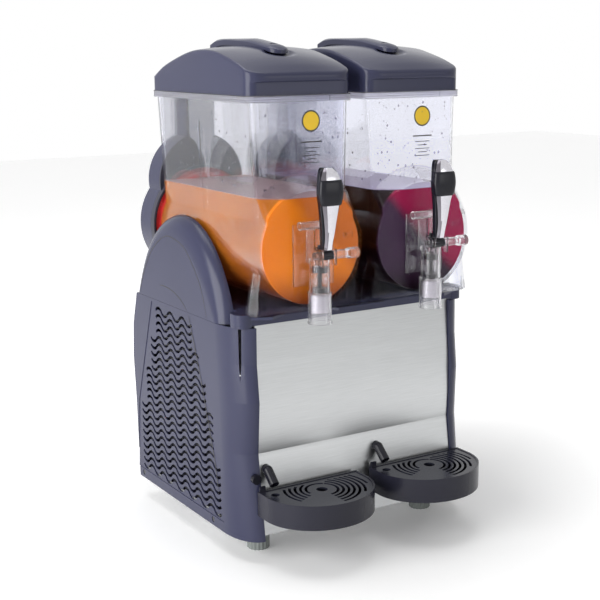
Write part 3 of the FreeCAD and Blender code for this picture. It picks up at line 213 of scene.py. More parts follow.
def moulded(name, color, roughness, variation=0.06, gloss=0.5):
    """Moulded plastic: fine grain, slight clouding of colour and of gloss."""
    mat, sockets = material(name, color, roughness)
    put(mat, gloss, sockets["Specular IOR Level"])
    vector = place_nodes(mat)
    cloud = noise(mat, vector, CLOUD_SCALE)
    put(mat, two_tones(mat, cloud, shade(color, 1 - variation), shade(color, 1 + variation)),
        sockets["Base Color"])
    spread = (roughness - GLOSS_SPREAD, roughness + GLOSS_SPREAD)
    put(mat, map_range(mat, noise(mat, vector, GLOSS_SCALE), target=spread), sockets["Roughness"])
    bump(mat, sockets, noise(mat, vector, GRAIN_SCALE, GRAIN_DETAIL), GRAIN_RELIEF, GRAIN_HEIGHT)
    return mat


def brushed(name, color, roughness, stretch=(3, 260, 260), relief=0.12, tones=None):
    """Sheet metal brushed along one axis, with tones as pairs of height and brightness, multiplied into its
    colour as painted reflection.
    """
    mat, sockets = material(name, color, roughness, 1.0)
    streaks = noise(mat, place_nodes(mat, stretch), STREAK_SCALE, STREAK_DETAIL)
    tint = two_tones(mat, streaks, shade(color, STREAK_DARK), shade(color, STREAK_LIGHT))
    # Tones by height are painted reflection and shade, not the metal's own colour
    if tones:
        low, high = tones[0][0], tones[-1][0]
        share = map_range(mat, place_value(mat, "Z"), (low, high))
        grey = ramp(mat, share, [((z - low) / (high - low), (tone, tone, tone)) for z, tone in tones])
        tint = blend(mat, 1.0, tint, grey, "MULTIPLY")
    put(mat, tint, sockets["Base Color"])
    spread = (roughness - STREAK_SMOOTHER, roughness + STREAK_ROUGHER)
    put(mat, map_range(mat, streaks, target=spread), sockets["Roughness"])
    bump(mat, sockets, streaks, relief, STREAK_HEIGHT)
    return mat


def clear(name, tint, roughness, solidity, ior=1.45):
    """Clear plastic or water with faint waves in its surface."""
    mat, sockets = material(name, tint, roughness)
    put(mat, 1.0, sockets["Transmission Weight"])
    put(mat, ior, sockets["IOR"])
    put(mat, solidity, sockets["Alpha"])
    vector = place_nodes(mat)
    haze = map_range(mat, noise(mat, vector, HAZE_SCALE), target=(roughness, roughness + HAZE_SPREAD))
    put(mat, haze, sockets["Roughness"])
    bump(mat, sockets, noise(mat, vector, WAVE_SCALE, WAVE_DETAIL), WAVE_RELIEF, WAVE_HEIGHT)
    return mat


MATERIALS = {
    "anthracite": moulded("anthracite_moulding", ANTHRACITE, 0.22, variation=0.03, gloss=0.25),
    "black_plastic": moulded("black_moulding", BLACK, 0.2, gloss=0.25),
    "brushed_steel": brushed("brushed_front", STEEL, 0.3, tones=STEEL_PAINTED_REFLECTION),
    "plain_steel": brushed("plain_sheet", (0.55, 0.56, 0.57), 0.38, (40, 40, 40)),
    "clear_bowl": clear("clear_bowl", (0.85, 0.86, 0.97), 0.0, 0.45, 1.2),
    "clear_tap": clear("clear_tap", (0.93, 0.92, 0.95), 0.0, 0.8, 1.5),
    "white_plastic": moulded("white_auger", (0.8, 0.8, 0.78), 0.35),
    "red_rubber": moulded("red_gasket", (0.6, 0.02, 0.02), 0.45),
    "grey_rubber": moulded("grey_foot", (0.22, 0.24, 0.23), 0.5),
    "dark_tray": moulded("tray_moulding", (0.016, 0.016, 0.026), 0.25, gloss=0.25),
    "grid_plastic": moulded("grid_moulding", (0.018, 0.019, 0.03), 0.25, gloss=0.3),
    "chrome": brushed("chrome_lever", (0.60, 0.59, 0.63), 0.14, (60, 60, 60), 0.02),
    "aluminium_fins": brushed("thin_fins", (0.7, 0.7, 0.71), 0.35, (20, 20, 200)),
    "motor_enamel": moulded("motor_enamel", (0.02, 0.02, 0.022), 0.3),
    "copper_pipe": brushed("copper_pipe", (0.75, 0.36, 0.2), 0.25, (80, 80, 80)),
}

# Nodes that are darker than the rest of their material slot
DARKER = {
    "panel_screws": moulded("dark_screws", (0.02, 0.02, 0.025), 0.3),
    "bulkhead": moulded("dark_wall", (0.03, 0.03, 0.045), 0.4, gloss=0.3),
}

for entry in frame["record"]["subparts"]:
    slots = nodes[entry["node"]].data.materials
    slots.clear()
    slots.append(DARKER.get(entry["node"], MATERIALS[entry["material_slot"]]))


# Mesh helpers

BEVEL_STEPS = 3
BEVEL_ANGLE = 35.0


def circle(count):
    """The cosine and sine of equal steps round a circle."""
    turns = [2 * math.pi * k / count for k in range(count)]
    return [(math.cos(turn), math.sin(turn)) for turn in turns]


def mesh_piece(name, vertices, faces, mat, sharp):
    """A mesh object with smooth shading, but for edges sharper than an angle."""
    mesh = bpy.data.meshes.new(name)
    mesh.from_pydata(vertices, [], faces)
    mesh.validate()
    work = bmesh.new()
    work.from_mesh(mesh)
    bmesh.ops.recalc_face_normals(work, faces=work.faces)
    work.to_mesh(mesh)
    work.free()
    mesh.polygons.foreach_set("use_smooth", [True] * len(mesh.polygons))
    mesh.set_sharp_from_angle(angle=math.radians(sharp))
    mesh.materials.append(mat)
    piece = bpy.data.objects.new(name, mesh)
    bpy.context.scene.collection.objects.link(piece)
    return piece


def ring_piece(name, rings, mat, sharp=40.0, capped=True):
    """A skin through rings of equally many points, with a fan over each end if it is capped."""
    count = len(rings[0])
    last = len(rings) - 1
    vertices = [tuple(p) for ring in rings for p in ring]
    faces = []
    for low in range(0, last * count, count):
        high = low + count
        for index in range(count):
            after = (index + 1) % count
            faces.append((low + index, low + after, high + after, high + index))
    for step in (0, last) if capped else ():
        hub, start = len(vertices), step * count
        vertices.append(tuple(sum(p[axis] for p in rings[step]) / count for axis in range(3)))
        faces += [(hub, start + index, start + (index + 1) % count) for index in range(count)]
    return mesh_piece(name, vertices, faces, mat, sharp)


def round_plan(half, front, back, corner, steps=10, side_steps=24):
    """Points of a rectangle with round corners in plan, as pairs of x and y."""
    arcs = []
    for cx, cy, start in ((half - corner, front + corner, -90), (half - corner, back - corner, 0),
                          (corner - half, back - corner, 90), (corner - half, front + corner, 180)):
        turns = [math.radians(start + 90 * k / steps) for k in range(steps + 1)]
        arcs.append([(cx + corner * math.cos(turn), cy + corner * math.sin(turn)) for turn in turns])
    plan = []
    for arc, following in zip(arcs, arcs[1:] + arcs[:1]):
        (ax, ay), (bx, by) = arc[-1], following[0]
        plan += arc
        plan += [(ax + (bx - ax) * k / side_steps, ay + (by - ay) * k / side_steps)
                 for k in range(1, side_steps)]
    return plan


def smooth_value(profile, place):
    """The value of a smooth curve through pairs of place and value."""
    spots = sorted(profile)
    last = len(spots) - 1
    if place <= spots[0][0]:
        return spots[0][1]
    if place >= spots[last][0]:
        return spots[last][1]
    index = next(k for k in range(last) if place <= spots[k + 1][0])
    slopes = []
    for spot in (index, index + 1):
        low, high = spots[max(spot - 1, 0)], spots[min(spot + 1, last)]
        slopes.append((high[1] - low[1]) / (high[0] - low[0]))
    (t0, v0), (t1, v1) = spots[index], spots[index + 1]
    width = t1 - t0
    t = (place - t0) / width
    return ((2 * t ** 3 - 3 * t ** 2 + 1) * v0 + (t ** 3 - 2 * t ** 2 + t) * width * slopes[0]
            + (3 * t ** 2 - 2 * t ** 3) * v1 + (t ** 3 - t ** 2) * width * slopes[1])


def apply_modifiers(piece):
    """Turns a piece's modifiers into its mesh."""
    graph = bpy.context.evaluated_depsgraph_get()
    done = bpy.data.meshes.new_from_object(piece.evaluated_get(graph))
    piece.modifiers.clear()
    piece.data = done


def bevel(piece, width):
    """Rounds a piece's edges."""
    modifier = piece.modifiers.new("bevel", "BEVEL")
    modifier.width = width
    modifier.segments = BEVEL_STEPS
    modifier.limit_method = "ANGLE"
    modifier.angle_limit = math.radians(BEVEL_ANGLE)
    apply_modifiers(piece)


def cut(piece, tool):
    """Cuts one piece with another, and removes the other."""
    modifier = piece.modifiers.new("cut", "BOOLEAN")
    modifier.operation = "DIFFERENCE"
    modifier.solver = "EXACT"
    modifier.object = tool
    apply_modifiers(piece)
    bpy.data.objects.remove(tool)


def middle(node):
    """The middle of a node's box, as x, y and z."""
    return [(a + b) / 2 for a, b in zip(*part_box(node))]


# Lids: curves are pairs of y and height, at the lid's side and along its middle

RIM_TOP = 0.6463
LID_HALF = 0.082
LID_NOSE = -0.1195
LID_FACE = -0.1145
LID_BACK = 0.1797
LID_CORNER = 0.014
LID_BROW = 0.6668
LID_ROUND = 0.0035
LID_ROUND_LEAST = 0.0005
LID_WALL = 0.0025
LID_STEPS = 70
BROW_FROM = 0.056
BROW_TO = 0.079
LID_SIDE = [(LID_BACK, 0.664), (0.166, 0.670), (0.139, 0.682), (0.086, 0.6965), (0.050, 0.7035),
            (0.019, 0.7057), (-0.016, 0.704), (-0.047, 0.6975), (-0.083, 0.688), (LID_NOSE, 0.6745)]
LID_MIDDLE = [(LID_BACK, 0.667), (0.166, 0.675), (0.139, 0.687), (0.086, 0.7025), (0.050, 0.7095),
              (0.001, 0.7105), (-0.040, 0.706), (-0.075, 0.6975), (-0.100, 0.687), (LID_NOSE, 0.6745)]
HOLLOW_RADIUS = 0.040
HOLLOW_REACH = 0.8
HOLLOW_PLACE = -0.064
HOLLOW_DEPTH = 0.006
HOLLOW_SOFTNESS = 0.0006
# A height near the crown, which keeps the soft edge's powers in range
HOLLOW_DATUM = 0.7


def lid_top(x, y):
    """The height of the lid's skin at a place about its own middle line."""
    low = smooth_value(LID_SIDE, y)
    high = smooth_value(LID_MIDDLE, y)
    return low + (high - low) * (1 - (x / LID_HALF) ** 2)


def hollowed(x, y, height):
    """The height once the finger hollow is sunk into it, with a soft edge."""
    away = x ** 2 + (y - HOLLOW_PLACE) ** 2
    if away >= (HOLLOW_RADIUS * HOLLOW_REACH) ** 2:
        return height
    ball = lid_top(0, HOLLOW_PLACE) - HOLLOW_DEPTH + HOLLOW_RADIUS - math.sqrt(HOLLOW_RADIUS ** 2 - away)
    weights = [math.exp(-(z - HOLLOW_DATUM) / HOLLOW_SOFTNESS) for z in (height, ball)]
    return -HOLLOW_SOFTNESS * math.log(weights[0] + weights[1]) + HOLLOW_DATUM


def brow_reach(x, y):
    """How far the brow stands out over the skirt's front: fully between the corners, not at them."""
    ahead = min(1.0, max(0.0, (LID_FACE + LID_CORNER - y) / LID_CORNER))
    aside = min(1.0, max(0.0, (abs(x) - BROW_FROM) / (BROW_TO - BROW_FROM)))
    return (LID_FACE - LID_NOSE) * ahead * (1 - aside * aside * (3 - 2 * aside))


def lid_plan(inset):
    """The lid's plan moved in by an inset."""
    return round_plan(LID_HALF - inset, LID_FACE + inset, LID_BACK - inset, LID_CORNER - inset)


def lid_rings(inset, x):
    """The lid's skin as rings from its foot to its middle, moved in by an inset."""
    skirt = lid_plan(inset)
    fillet = max(LID_ROUND - inset, LID_ROUND_LEAST)
    rings = [[(px, py, z) for px, py in skirt] for z in (RIM_TOP, LID_BROW - fillet)]
    for turn in (0, 30, 60, 90):
        lift = fillet * (1 - math.cos(math.radians(turn)))
        share = math.sin(math.radians(turn))
        rings.append([(px, py - share * brow_reach(px, py), LID_BROW - fillet + lift) for px, py in skirt])
    for turn in (0, 22.5, 45, 67.5, 90):
        pull = inset + fillet * (1 - math.cos(math.radians(turn)))
        drop = fillet * (1 - math.sin(math.radians(turn))) + inset
        plan = [(px, py - brow_reach(px, py - pull)) for px, py in lid_plan(pull)]
        rings.append([(px, py, lid_top(px, py) - drop) for px, py in plan])
    centre = (LID_NOSE + LID_BACK) / 2
    for step in range(1, LID_STEPS):
        share = 1 - step / LID_STEPS
        drawn = [(px * share, centre + (py - centre) * share) for px, py in plan]
        rings.append([(px, py, hollowed(px, py, lid_top(px, py)) - inset) for px, py in drawn])
    return [[(px + x, py, pz) for px, py, pz in ring] for ring in rings]


def make_lid(side):
    """The moulded lid: skirt, brow, arched crown and finger hollow, hollow below."""
    x = middle("lid_" + side)[0]
    rings = lid_rings(LID_WALL, x)[::-1] + lid_rings(0.0, x)
    piece = ring_piece("lid_shell_" + side, rings, MATERIALS["anthracite"], sharp=50.0)
    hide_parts("lid_" + side)
    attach(piece, "lid_unit_" + side)


# Lid handles: curves are pairs of y and height

HANDLE_BACK = 0.116
HANDLE_FRONT = -0.066
HANDLE_HALF = 0.015
HANDLE_TIP = 0.004
HANDLE_CORE = 0.0115
HANDLE_ROUND = 0.0012
HANDLE_ARCH = 0.0035
HANDLE_LIMIT = 0.7207
HANDLE_SINK = 0.0005
HANDLE_STEPS = 64
HANDLE_CROWN = 4
HANDLE_BEVEL = 0.0006
HANDLE_TOP = [(HANDLE_FRONT, 0.7045), (-0.058, 0.7075), (-0.0255, 0.7129), (0.0066, 0.7171),
              (0.039, 0.7187), (0.074, 0.7197), (0.100, 0.7175), (HANDLE_BACK, 0.7125)]
HANDLE_UNDER = [(HANDLE_FRONT, 0.700), (-0.025, 0.7044), (0.008, 0.7075), (0.040, 0.7107),
                (0.075, 0.7115), (0.100, 0.708), (HANDLE_BACK, 0.700)]
SLOT_PLACE = -0.043
SLOT_SIZE = (0.0068, 0.003)
SLOT_DEPTH = 0.004
SLOT_OVER = 0.02
SLOT_POINTS = 24


def make_handle(side):
    """The handle: an arched tongue with a rounded tip on a narrower foot, and a slot near the tip."""
    x = middle("lid_handle_" + side)[0]
    rings = []
    for step in range(HANDLE_STEPS + 1):
        y = HANDLE_FRONT + (HANDLE_BACK - HANDLE_FRONT) * step / HANDLE_STEPS
        into = min(1.0, (y - HANDLE_FRONT) / HANDLE_HALF)
        half = max(HANDLE_TIP, HANDLE_HALF * math.sqrt(1 - (1 - into) ** 2))
        core = half * HANDLE_CORE / HANDLE_HALF
        top = smooth_value(HANDLE_TOP, y)
        foot = lid_top(core, y) - HANDLE_SINK
        under = max(smooth_value(HANDLE_UNDER, y), foot)
        arch = min(HANDLE_ARCH, HANDLE_LIMIT - top) * into
        edge = [(core, foot), (core, under), (half, under), (half, top - HANDLE_ROUND),
                (half - HANDLE_ROUND, top)]
        crown = [(half * k / HANDLE_CROWN, top + arch * (1 - (k / HANDLE_CROWN) ** 2))
                 for k in range(1 - HANDLE_CROWN, HANDLE_CROWN)]
        outline = [(-px, pz) for px, pz in edge] + crown + edge[::-1]
        rings.append([(x + px, y, pz) for px, pz in outline])
    piece = ring_piece("handle_bar_" + side, rings, MATERIALS["anthracite"])
    height = smooth_value(HANDLE_TOP, SLOT_PLACE)
    slot = [[(x + SLOT_SIZE[0] * c, SLOT_PLACE + SLOT_SIZE[1] * s, z) for c, s in circle(SLOT_POINTS)]
            for z in (height - SLOT_DEPTH, height + SLOT_OVER)]
    cut(piece, ring_piece("slot_tool", slot, MATERIALS["anthracite"]))
    bevel(piece, HANDLE_BEVEL)
    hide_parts("lid_handle_" + side)
    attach(piece, "lid_unit_" + side)


# Drinks: the bowl's inside is measured from its outer sizes and its wall

BARREL_RADIUS = 0.081
BOWL_WALL = 0.0035
BOWL_FRONT = -0.140
SHOULDER_RADIUS = 0.104
SHOULDER_BACK = -0.112
HOPPER_LOW_HALF = 0.0703
HOPPER_TAPER = 0.04
TUNNEL_RADIUS = 0.0665
TUNNEL_FRONT = -0.122
DRINK_GAP = 0.0003
DRINK_LEVEL = 0.5115
DRINK_BACK = 0.1670
DRINK_STEP = 0.004
DRINK_PLACES = [-0.128, -0.122, -0.117, -0.1121, -0.1119, -0.08, 0.0, 0.08, DRINK_BACK]
DRINK_POINTS = 144
SLOPE_LEAST = 0.0001

# Drink colours: where the painted shade at the bottom gives way, where the front ends and how soft the
# changes are
DRINK_CLOUD_SCALE = 14.0
DRINK_CLOUD_DETAIL = 4.0
FLANK_PAINTED_SHADE = (0.355, 0.455)
FRONT_PAINTED_SHADE = (0.355, 0.42)
DRINK_FACE = -0.132
FACE_SOFTNESS = 0.003
TURN_SOFTNESS = 0.03
FILM_FROM = 0.0012
FILM_TO = 0.0004
DRINK_ROUGHNESS = 0.3
DRINK_GLOSS = 0.15
ICE_SCALE = 220.0
ICE_RELIEF = 0.12
ICE_HEIGHT = 0.0005


def drink_section(y, axis, x):
    """The drink's outline across the barrel at one y: round below, hopper-wide above, flat on top."""
    inner = BARREL_RADIUS - BOWL_WALL - DRINK_GAP
    along = min(1.0, (y - BOWL_FRONT) / (SHOULDER_BACK - BOWL_FRONT))
    cone = BARREL_RADIUS + (SHOULDER_RADIUS - BARREL_RADIUS) * along - BOWL_WALL - DRINK_GAP
    half = HOPPER_LOW_HALF - BOWL_WALL - DRINK_GAP
    ring = []
    for c, s in circle(DRINK_POINTS):
        reach = inner
        if s > 0:
            wall = half / max(abs(c) - HOPPER_TAPER * s, SLOPE_LEAST)
            reach = max(inner, min(wall, cone if y < SHOULDER_BACK else 1.0))
            reach = min(reach, (DRINK_LEVEL - axis) / s)
        ring.append((x + reach * c, y, axis + reach * s))
    return ring


def make_drink(side, mat):
    """The drink as one closed body with a round tunnel where drum and auger are."""
    x, _, axis = middle("evaporator_drum_" + side)
    front = BOWL_FRONT + BOWL_WALL + DRINK_GAP
    rings = [drink_section(y, axis, x) for y in [front, front + DRINK_STEP] + DRINK_PLACES]
    rings += [[(x + TUNNEL_RADIUS * c, y, axis + TUNNEL_RADIUS * s) for c, s in circle(DRINK_POINTS)]
              for y in (DRINK_BACK, 0.0, TUNNEL_FRONT)]
    piece = ring_piece("drink_" + side, rings, mat, sharp=35.0)
    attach(piece, "bowl_unit_" + side)


def drink_material(name, flank, front, film, turn_from, glow):
    """Half-frozen drink with painted light. A flank is a painted shade for its bottom, then low and high
    tones; a front is low, high and turned ones, lighter than the flank.
    """
    mat, sockets = material(name, front[1], DRINK_ROUGHNESS)
    put(mat, DRINK_GLOSS, sockets["Specular IOR Level"])
    vector = place_nodes(mat)
    x, y, z = (place_value(mat, axis) for axis in "XYZ")
    cloud = noise(mat, vector, DRINK_CLOUD_SCALE, DRINK_CLOUD_DETAIL)
    # The flank darkens towards the bottom: painted shade on the barrel's underside
    rise = map_range(mat, z, FLANK_PAINTED_SHADE, smooth=True)
    side_colour = blend(mat, rise, flank[0], two_tones(mat, cloud, flank[1], flank[2]))
    # Towards the upper right the front turns to a third tone: a painted shade for one drink and a painted
    # highlight for the other
    turned = map_range(mat, combine(mat, "ADD", x, z), (turn_from, turn_from + TURN_SOFTNESS), smooth=True)
    front_colour = blend(mat, turned, two_tones(mat, cloud, front[0], front[1]), front[2])
    # The front darkens towards the bottom too: painted shade
    front_rise = map_range(mat, z, FRONT_PAINTED_SHADE, smooth=True)
    front_colour = blend(mat, front_rise, flank[0], front_colour)
    # The front face takes the lighter front tones and the flank the darker ones: painted light and shade
    face = map_range(mat, combine(mat, "MULTIPLY", y, -1.0), (-DRINK_FACE, FACE_SOFTNESS - DRINK_FACE),
                     smooth=True)
    colour = blend(mat, face, side_colour, front_colour)
    above = map_range(mat, z, (DRINK_LEVEL - FILM_FROM, DRINK_LEVEL - FILM_TO), smooth=True)
    colour = blend(mat, above, colour, film)
    put(mat, colour, sockets["Base Color"])
    # The whole drink glows in its own colour: painted light standing in for light scattered through it
    put(mat, colour, sockets["Emission Color"])
    put(mat, glow, sockets["Emission Strength"])
    bump(mat, sockets, noise(mat, vector, ICE_SCALE), ICE_RELIEF, ICE_HEIGHT)
    return mat


# Per drink: the flank's painted shade, then low and high tones; the front's low, high and turned tones
# (painted shade towards the upper right on the orange drink, a painted highlight there on the cherry one);
# the top film; the glow
DRINKS = {
    "left": drink_material("orange_drink",
                           ((0.11, 0.014, 0.003), (0.26, 0.070, 0.005), (0.36, 0.11, 0.009)),
                           ((0.66, 0.15, 0.006), (0.72, 0.20, 0.010), (0.50, 0.12, 0.012)),
                           (0.28, 0.17, 0.17), turn_from=0.37, glow=0.22),
    "right": drink_material("cherry_drink",
                            ((0.003, 0.0005, 0.001), (0.003, 0.0005, 0.001), (0.006, 0.0008, 0.002)),
                            ((0.022, 0.008, 0.022), (0.036, 0.014, 0.036), (0.26, 0.010, 0.05)),
                            (0.30, 0.25, 0.38), turn_from=0.525, glow=0.25),
}


# Rim trim, and a dark seam line under the lid as painted shade of the gap: each profile is pairs of height
# and reach out from the bowl's rim

RIM_HALF = 0.0832
RIM_FRONT = -0.1172
RIM_CORNER = 0.0142
RIM_LOW = 0.6375
RIM_HIGH = 0.6455
BAND_PROFILE = [(RIM_LOW, 0.0), (RIM_LOW, 0.0004), (RIM_LOW + 0.001, 0.0008), (RIM_LOW + 0.002, 0.0002),
                (RIM_LOW + 0.0035, 0.0002), (RIM_LOW + 0.0042, 0.0007), (RIM_LOW + 0.005, 0.0002),
                (RIM_HIGH - 0.0012, 0.0003), (RIM_HIGH - 0.0006, 0.0006), (RIM_HIGH, 0.0),
                (RIM_LOW, 0.0)]
# A thin dark strip at the seam under the lid: painted shade of the gap
SEAM_SHADE_PROFILE = [(RIM_HIGH, 0.0), (RIM_HIGH, 0.0005), (RIM_TOP, 0.0005), (RIM_TOP, 0.0), (RIM_HIGH, 0.0)]


def make_rim_trim(name, side, profile, mat):
    """A closed strip round the bowl's rim."""
    x = middle("lid_" + side)[0]
    rings = []
    for z, out in profile:
        plan = round_plan(RIM_HALF + out, RIM_FRONT - out, LID_BACK + out, RIM_CORNER + out)
        rings.append([(px + x, py, z) for px, py in plan])
    piece = ring_piece(name + side, rings, mat, sharp=50.0, capped=False)
    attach(piece, "bowl_unit_" + side)


# Level marks on the hoppers' front walls

HOPPER_FRONT = -0.1125
HOPPER_BACK = 0.1752
HOPPER_HALF = 0.0785
HOPPER_TOP = 0.646
HOPPER_LEAN = 0.028
MARK_ASIDE = 0.015
MARK_HEIGHT = 0.611
MARK_PROUD = 0.00025
INK_THICKNESS = 0.0002
DOT_THICKNESS = 0.0004
RIM_RADIUS = 0.0145
DOT_RADIUS = 0.0125
DOT_POINTS = 48
BAR_TURN = 30
LEVEL_BELOW = 0.028
LEVEL_SIZE = (0.017, 0.0009)
TICK_BELOW = 0.036
TICK_STEP = 0.005
TICK_COUNT = 5
TICK_HALVES = (0.013, 0.008)
TICK_HIGH = 0.0005


def hopper_front(z):
    """Where the hopper's front wall is at a height."""
    return HOPPER_FRONT - HOPPER_LEAN * (HOPPER_TOP - z)


def mark_piece(name, outline, proud, side, mat):
    """A thin printed shape on the hopper's front wall, from an outline in x and z."""
    rings = [[(px, hopper_front(pz) - MARK_PROUD - out, pz) for px, pz in outline] for out in (0.0, proud)]
    piece = ring_piece(name + side, rings, mat)
    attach(piece, "bowl_unit_" + side)


def dot(x, z, radius):
    """A round outline in x and z."""
    return [(x + radius * c, z + radius * s) for c, s in circle(DOT_POINTS)]


def bar(x, z, across, high):
    """A flat bar with rounded ends in x and z."""
    ends = []
    for centre, start in ((across - high, -90), (high - across, 90)):
        turns = [math.radians(start + BAR_TURN * k) for k in range(180 // BAR_TURN + 1)]
        ends += [(x + centre + high * math.cos(turn), z + high * math.sin(turn)) for turn in turns]
    return ends


def make_level_mark(side, yellow, ink):
    """A plain level mark: a yellow dot with a dark rim, a bar for the level and short ticks."""
    x = middle("lid_" + side)[0] + MARK_ASIDE
    mark_piece("mark_rim_", dot(x, MARK_HEIGHT, RIM_RADIUS), INK_THICKNESS, side, ink)
    mark_piece("mark_dot_", dot(x, MARK_HEIGHT, DOT_RADIUS), DOT_THICKNESS, side, yellow)
    mark_piece("mark_level_", bar(x, MARK_HEIGHT - LEVEL_BELOW, *LEVEL_SIZE), INK_THICKNESS, side, ink)
    for row in range(TICK_COUNT):
        tick = bar(x, MARK_HEIGHT - TICK_BELOW - TICK_STEP * row, TICK_HALVES[row % 2], TICK_HIGH)
        mark_piece("mark_tick_%d_" % row, tick, INK_THICKNESS, side, ink)


# Drops of condensed water on the hoppers

DROP_COUNT = 260
DROP_LOW = 0.522
DROP_HIGH = 0.632
DROP_CROWDING = 1.4
DROP_LEAST = 0.0005
DROP_GROWTH = 0.0013
DROP_FINENESS = 3
DROP_POINTS = 8
DROP_LAYERS = ((1.0, 0.0), (0.75, 0.45))
DROP_TIP = 0.6
DROP_TALL = 1.2
DROP_MARGIN = 0.012
DROP_MARGINS = 0.03
UPRIGHT = (0, 0, 1)


def make_drops(side, mat):
    """Drops of condensed water on the hopper's front and outer wall."""
    chance = random.Random(len(side))
    x = middle("lid_" + side)[0]
    vertices, faces = [], []
    for index in range(DROP_COUNT):
        z = DROP_LOW + (DROP_HIGH - DROP_LOW) * chance.random() ** DROP_CROWDING
        size = DROP_LEAST + DROP_GROWTH * chance.random() ** DROP_FINENESS
        half = HOPPER_HALF - HOPPER_TAPER * (HOPPER_TOP - z)
        if index % 2:
            along, out = (1, 0, 0), (0, -1, 0)
            start = (x + (2 * chance.random() - 1) * (half - DROP_MARGIN), hopper_front(z), z)
        else:
            along, out = (0, 1, 0), (-1, 0, 0)
            depth = chance.random() * (HOPPER_BACK - HOPPER_FRONT - DROP_MARGINS)
            start = (x - half, HOPPER_FRONT + DROP_MARGIN + depth, z)
        base = len(vertices)
        for reach, lift in DROP_LAYERS:
            for c, s in circle(DROP_POINTS):
                vertices.append(tuple(start[a] + size * (reach * (along[a] * c + UPRIGHT[a] * s * DROP_TALL)
                                                         + lift * out[a]) for a in range(3)))
        vertices.append(tuple(start[a] + size * DROP_TIP * out[a] for a in range(3)))
        inner, tip = base + DROP_POINTS, base + 2 * DROP_POINTS
        faces.append(tuple(range(base, inner)))
        for k in range(DROP_POINTS):
            after = (k + 1) % DROP_POINTS
            faces.append((base + k, base + after, inner + after, inner + k))
            faces.append((inner + k, inner + after, tip))
    piece = mesh_piece("drops_" + side, vertices, faces, mat, sharp=80.0)
    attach(piece, "bowl_unit_" + side)


# Seal rings and spout liners: each profile is pairs of place along the axis and radius

SEAL_PROFILE = [(0.1725, 0.0843), (0.1725, 0.0850), (0.1735, 0.0853), (0.1789, 0.0853), (0.1799, 0.0850),
                (0.1799, 0.0843), (0.1725, 0.0843)]
SEAL_POINTS = 96
SPOUT_PROFILE = [(0.3575, 0.0107), (0.3575, 0.0112), (0.3805, 0.0112), (0.3805, 0.0107), (0.3575, 0.0107)]
SPOUT_POINTS = 64


def make_seal_ring(side, mat):
    """The black ring round the barrel's rear end."""
    x, _, z = middle("evaporator_drum_" + side)
    rings = [[(x + radius * c, y, z + radius * s) for c, s in circle(SEAL_POINTS)]
             for y, radius in SEAL_PROFILE]
    piece = ring_piece("seal_ring_" + side, rings, mat, sharp=50.0, capped=False)
    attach(piece, "housing")


def make_liner(side, mat):
    """The frosted liner inside the spout's lower end."""
    x, y, _ = middle("spout_sleeve_" + side)
    rings = [[(x + radius * c, y + radius * s, z) for c, s in circle(SPOUT_POINTS)]
             for z, radius in SPOUT_PROFILE]
    piece = ring_piece("spout_liner_" + side, rings, mat, sharp=50.0, capped=False)
    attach(piece, "bowl_unit_" + side)


BAND = clear("rim_band", (0.80, 0.79, 0.90), 0.35, 0.75)
YELLOW = moulded("mark_yellow", (0.80, 0.52, 0.01), 0.4, variation=0.05)
# Dark colour for the level marks' print, and for the thin strips of painted shade at the rim seam and in
# the side panels' creases
DARK_PRINT_AND_SHADE = moulded("print_and_painted_shade_ink", (0.02, 0.018, 0.02), 0.5)
# The drops' grey tint is painted shade, which makes them show as dark specks
DROPS = clear("water_drops", (0.5, 0.48, 0.58), 0.0, 1.0, 1.33)
LINER = moulded("frosted_liner", (0.72, 0.70, 0.74), 0.5, variation=0.05)


# Lines on the side panels, as pairs of y and z: thin dark strips of painted shade in the arch's creases and
# along the vents' edge

LINE_PROUD = 0.00015
LINE_HALF = 0.0006
LINE_STEPS = 48
LINE_TAPER = 4
LINE_END = 0.2
SIDE_SHADE_LINES = {
    "arch_crease_": [(-0.0290, 0.338), (-0.0150, 0.3745), (0.0070, 0.4034), (0.0389, 0.4296),
                     (0.0860, 0.4386), (0.1097, 0.4327), (0.1430, 0.4118), (0.1645, 0.3880),
                     (0.1832, 0.3590), (0.1920, 0.338)],
    "small_arch_": [(0.0325, 0.3365), (0.045, 0.3460), (0.063, 0.3542), (0.085, 0.3595),
                    (0.108, 0.3610), (0.122, 0.3604)],
    "vent_edge_": [(0.0286, 0.332), (0.0032, 0.270), (-0.0214, 0.2016), (-0.0481, 0.1195),
                   (-0.0545, 0.085)],
}


def smooth_route(route):
    """Points along a smooth curve through pairs of places."""
    lengths = [0.0]
    for (a, b), (c, d) in zip(route, route[1:]):
        lengths.append(lengths[-1] + math.hypot(c - a, d - b))
    first = list(zip(lengths, [p[0] for p in route]))
    second = list(zip(lengths, [p[1] for p in route]))
    spots = [lengths[-1] * k / LINE_STEPS for k in range(LINE_STEPS + 1)]
    return [(smooth_value(first, t), smooth_value(second, t)) for t in spots]


def make_line(name, side, route, mat):
    """A thin dark strip on the flat face of one side, narrow at both its ends: painted shade in a crease.
    """
    low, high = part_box("lower_side_panel_" + side)
    out = SIDES[side]
    face = low.x if out < 0 else high.x
    points = smooth_route(route)
    last = len(points) - 1
    rings = []
    for index, (y, z) in enumerate(points):
        before, after = points[max(index - 1, 0)], points[min(index + 1, last)]
        along = Vector((after[0] - before[0], after[1] - before[1])).normalized()
        half = LINE_HALF * min(1.0, min(index, last - index) / LINE_TAPER + LINE_END)
        across = (-along.y * half, along.x * half)
        rings.append([(face + out * lift, y + turn * across[0], z + turn * across[1])
                      for lift, turn in ((0.0, -1), (LINE_PROUD, -1), (LINE_PROUD, 1), (0.0, 1))])
    piece = ring_piece(name + side, rings, mat)
    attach(piece, "housing")


# Levers: curves are pairs of height over the pivot and half width, or reach ahead of the pivot

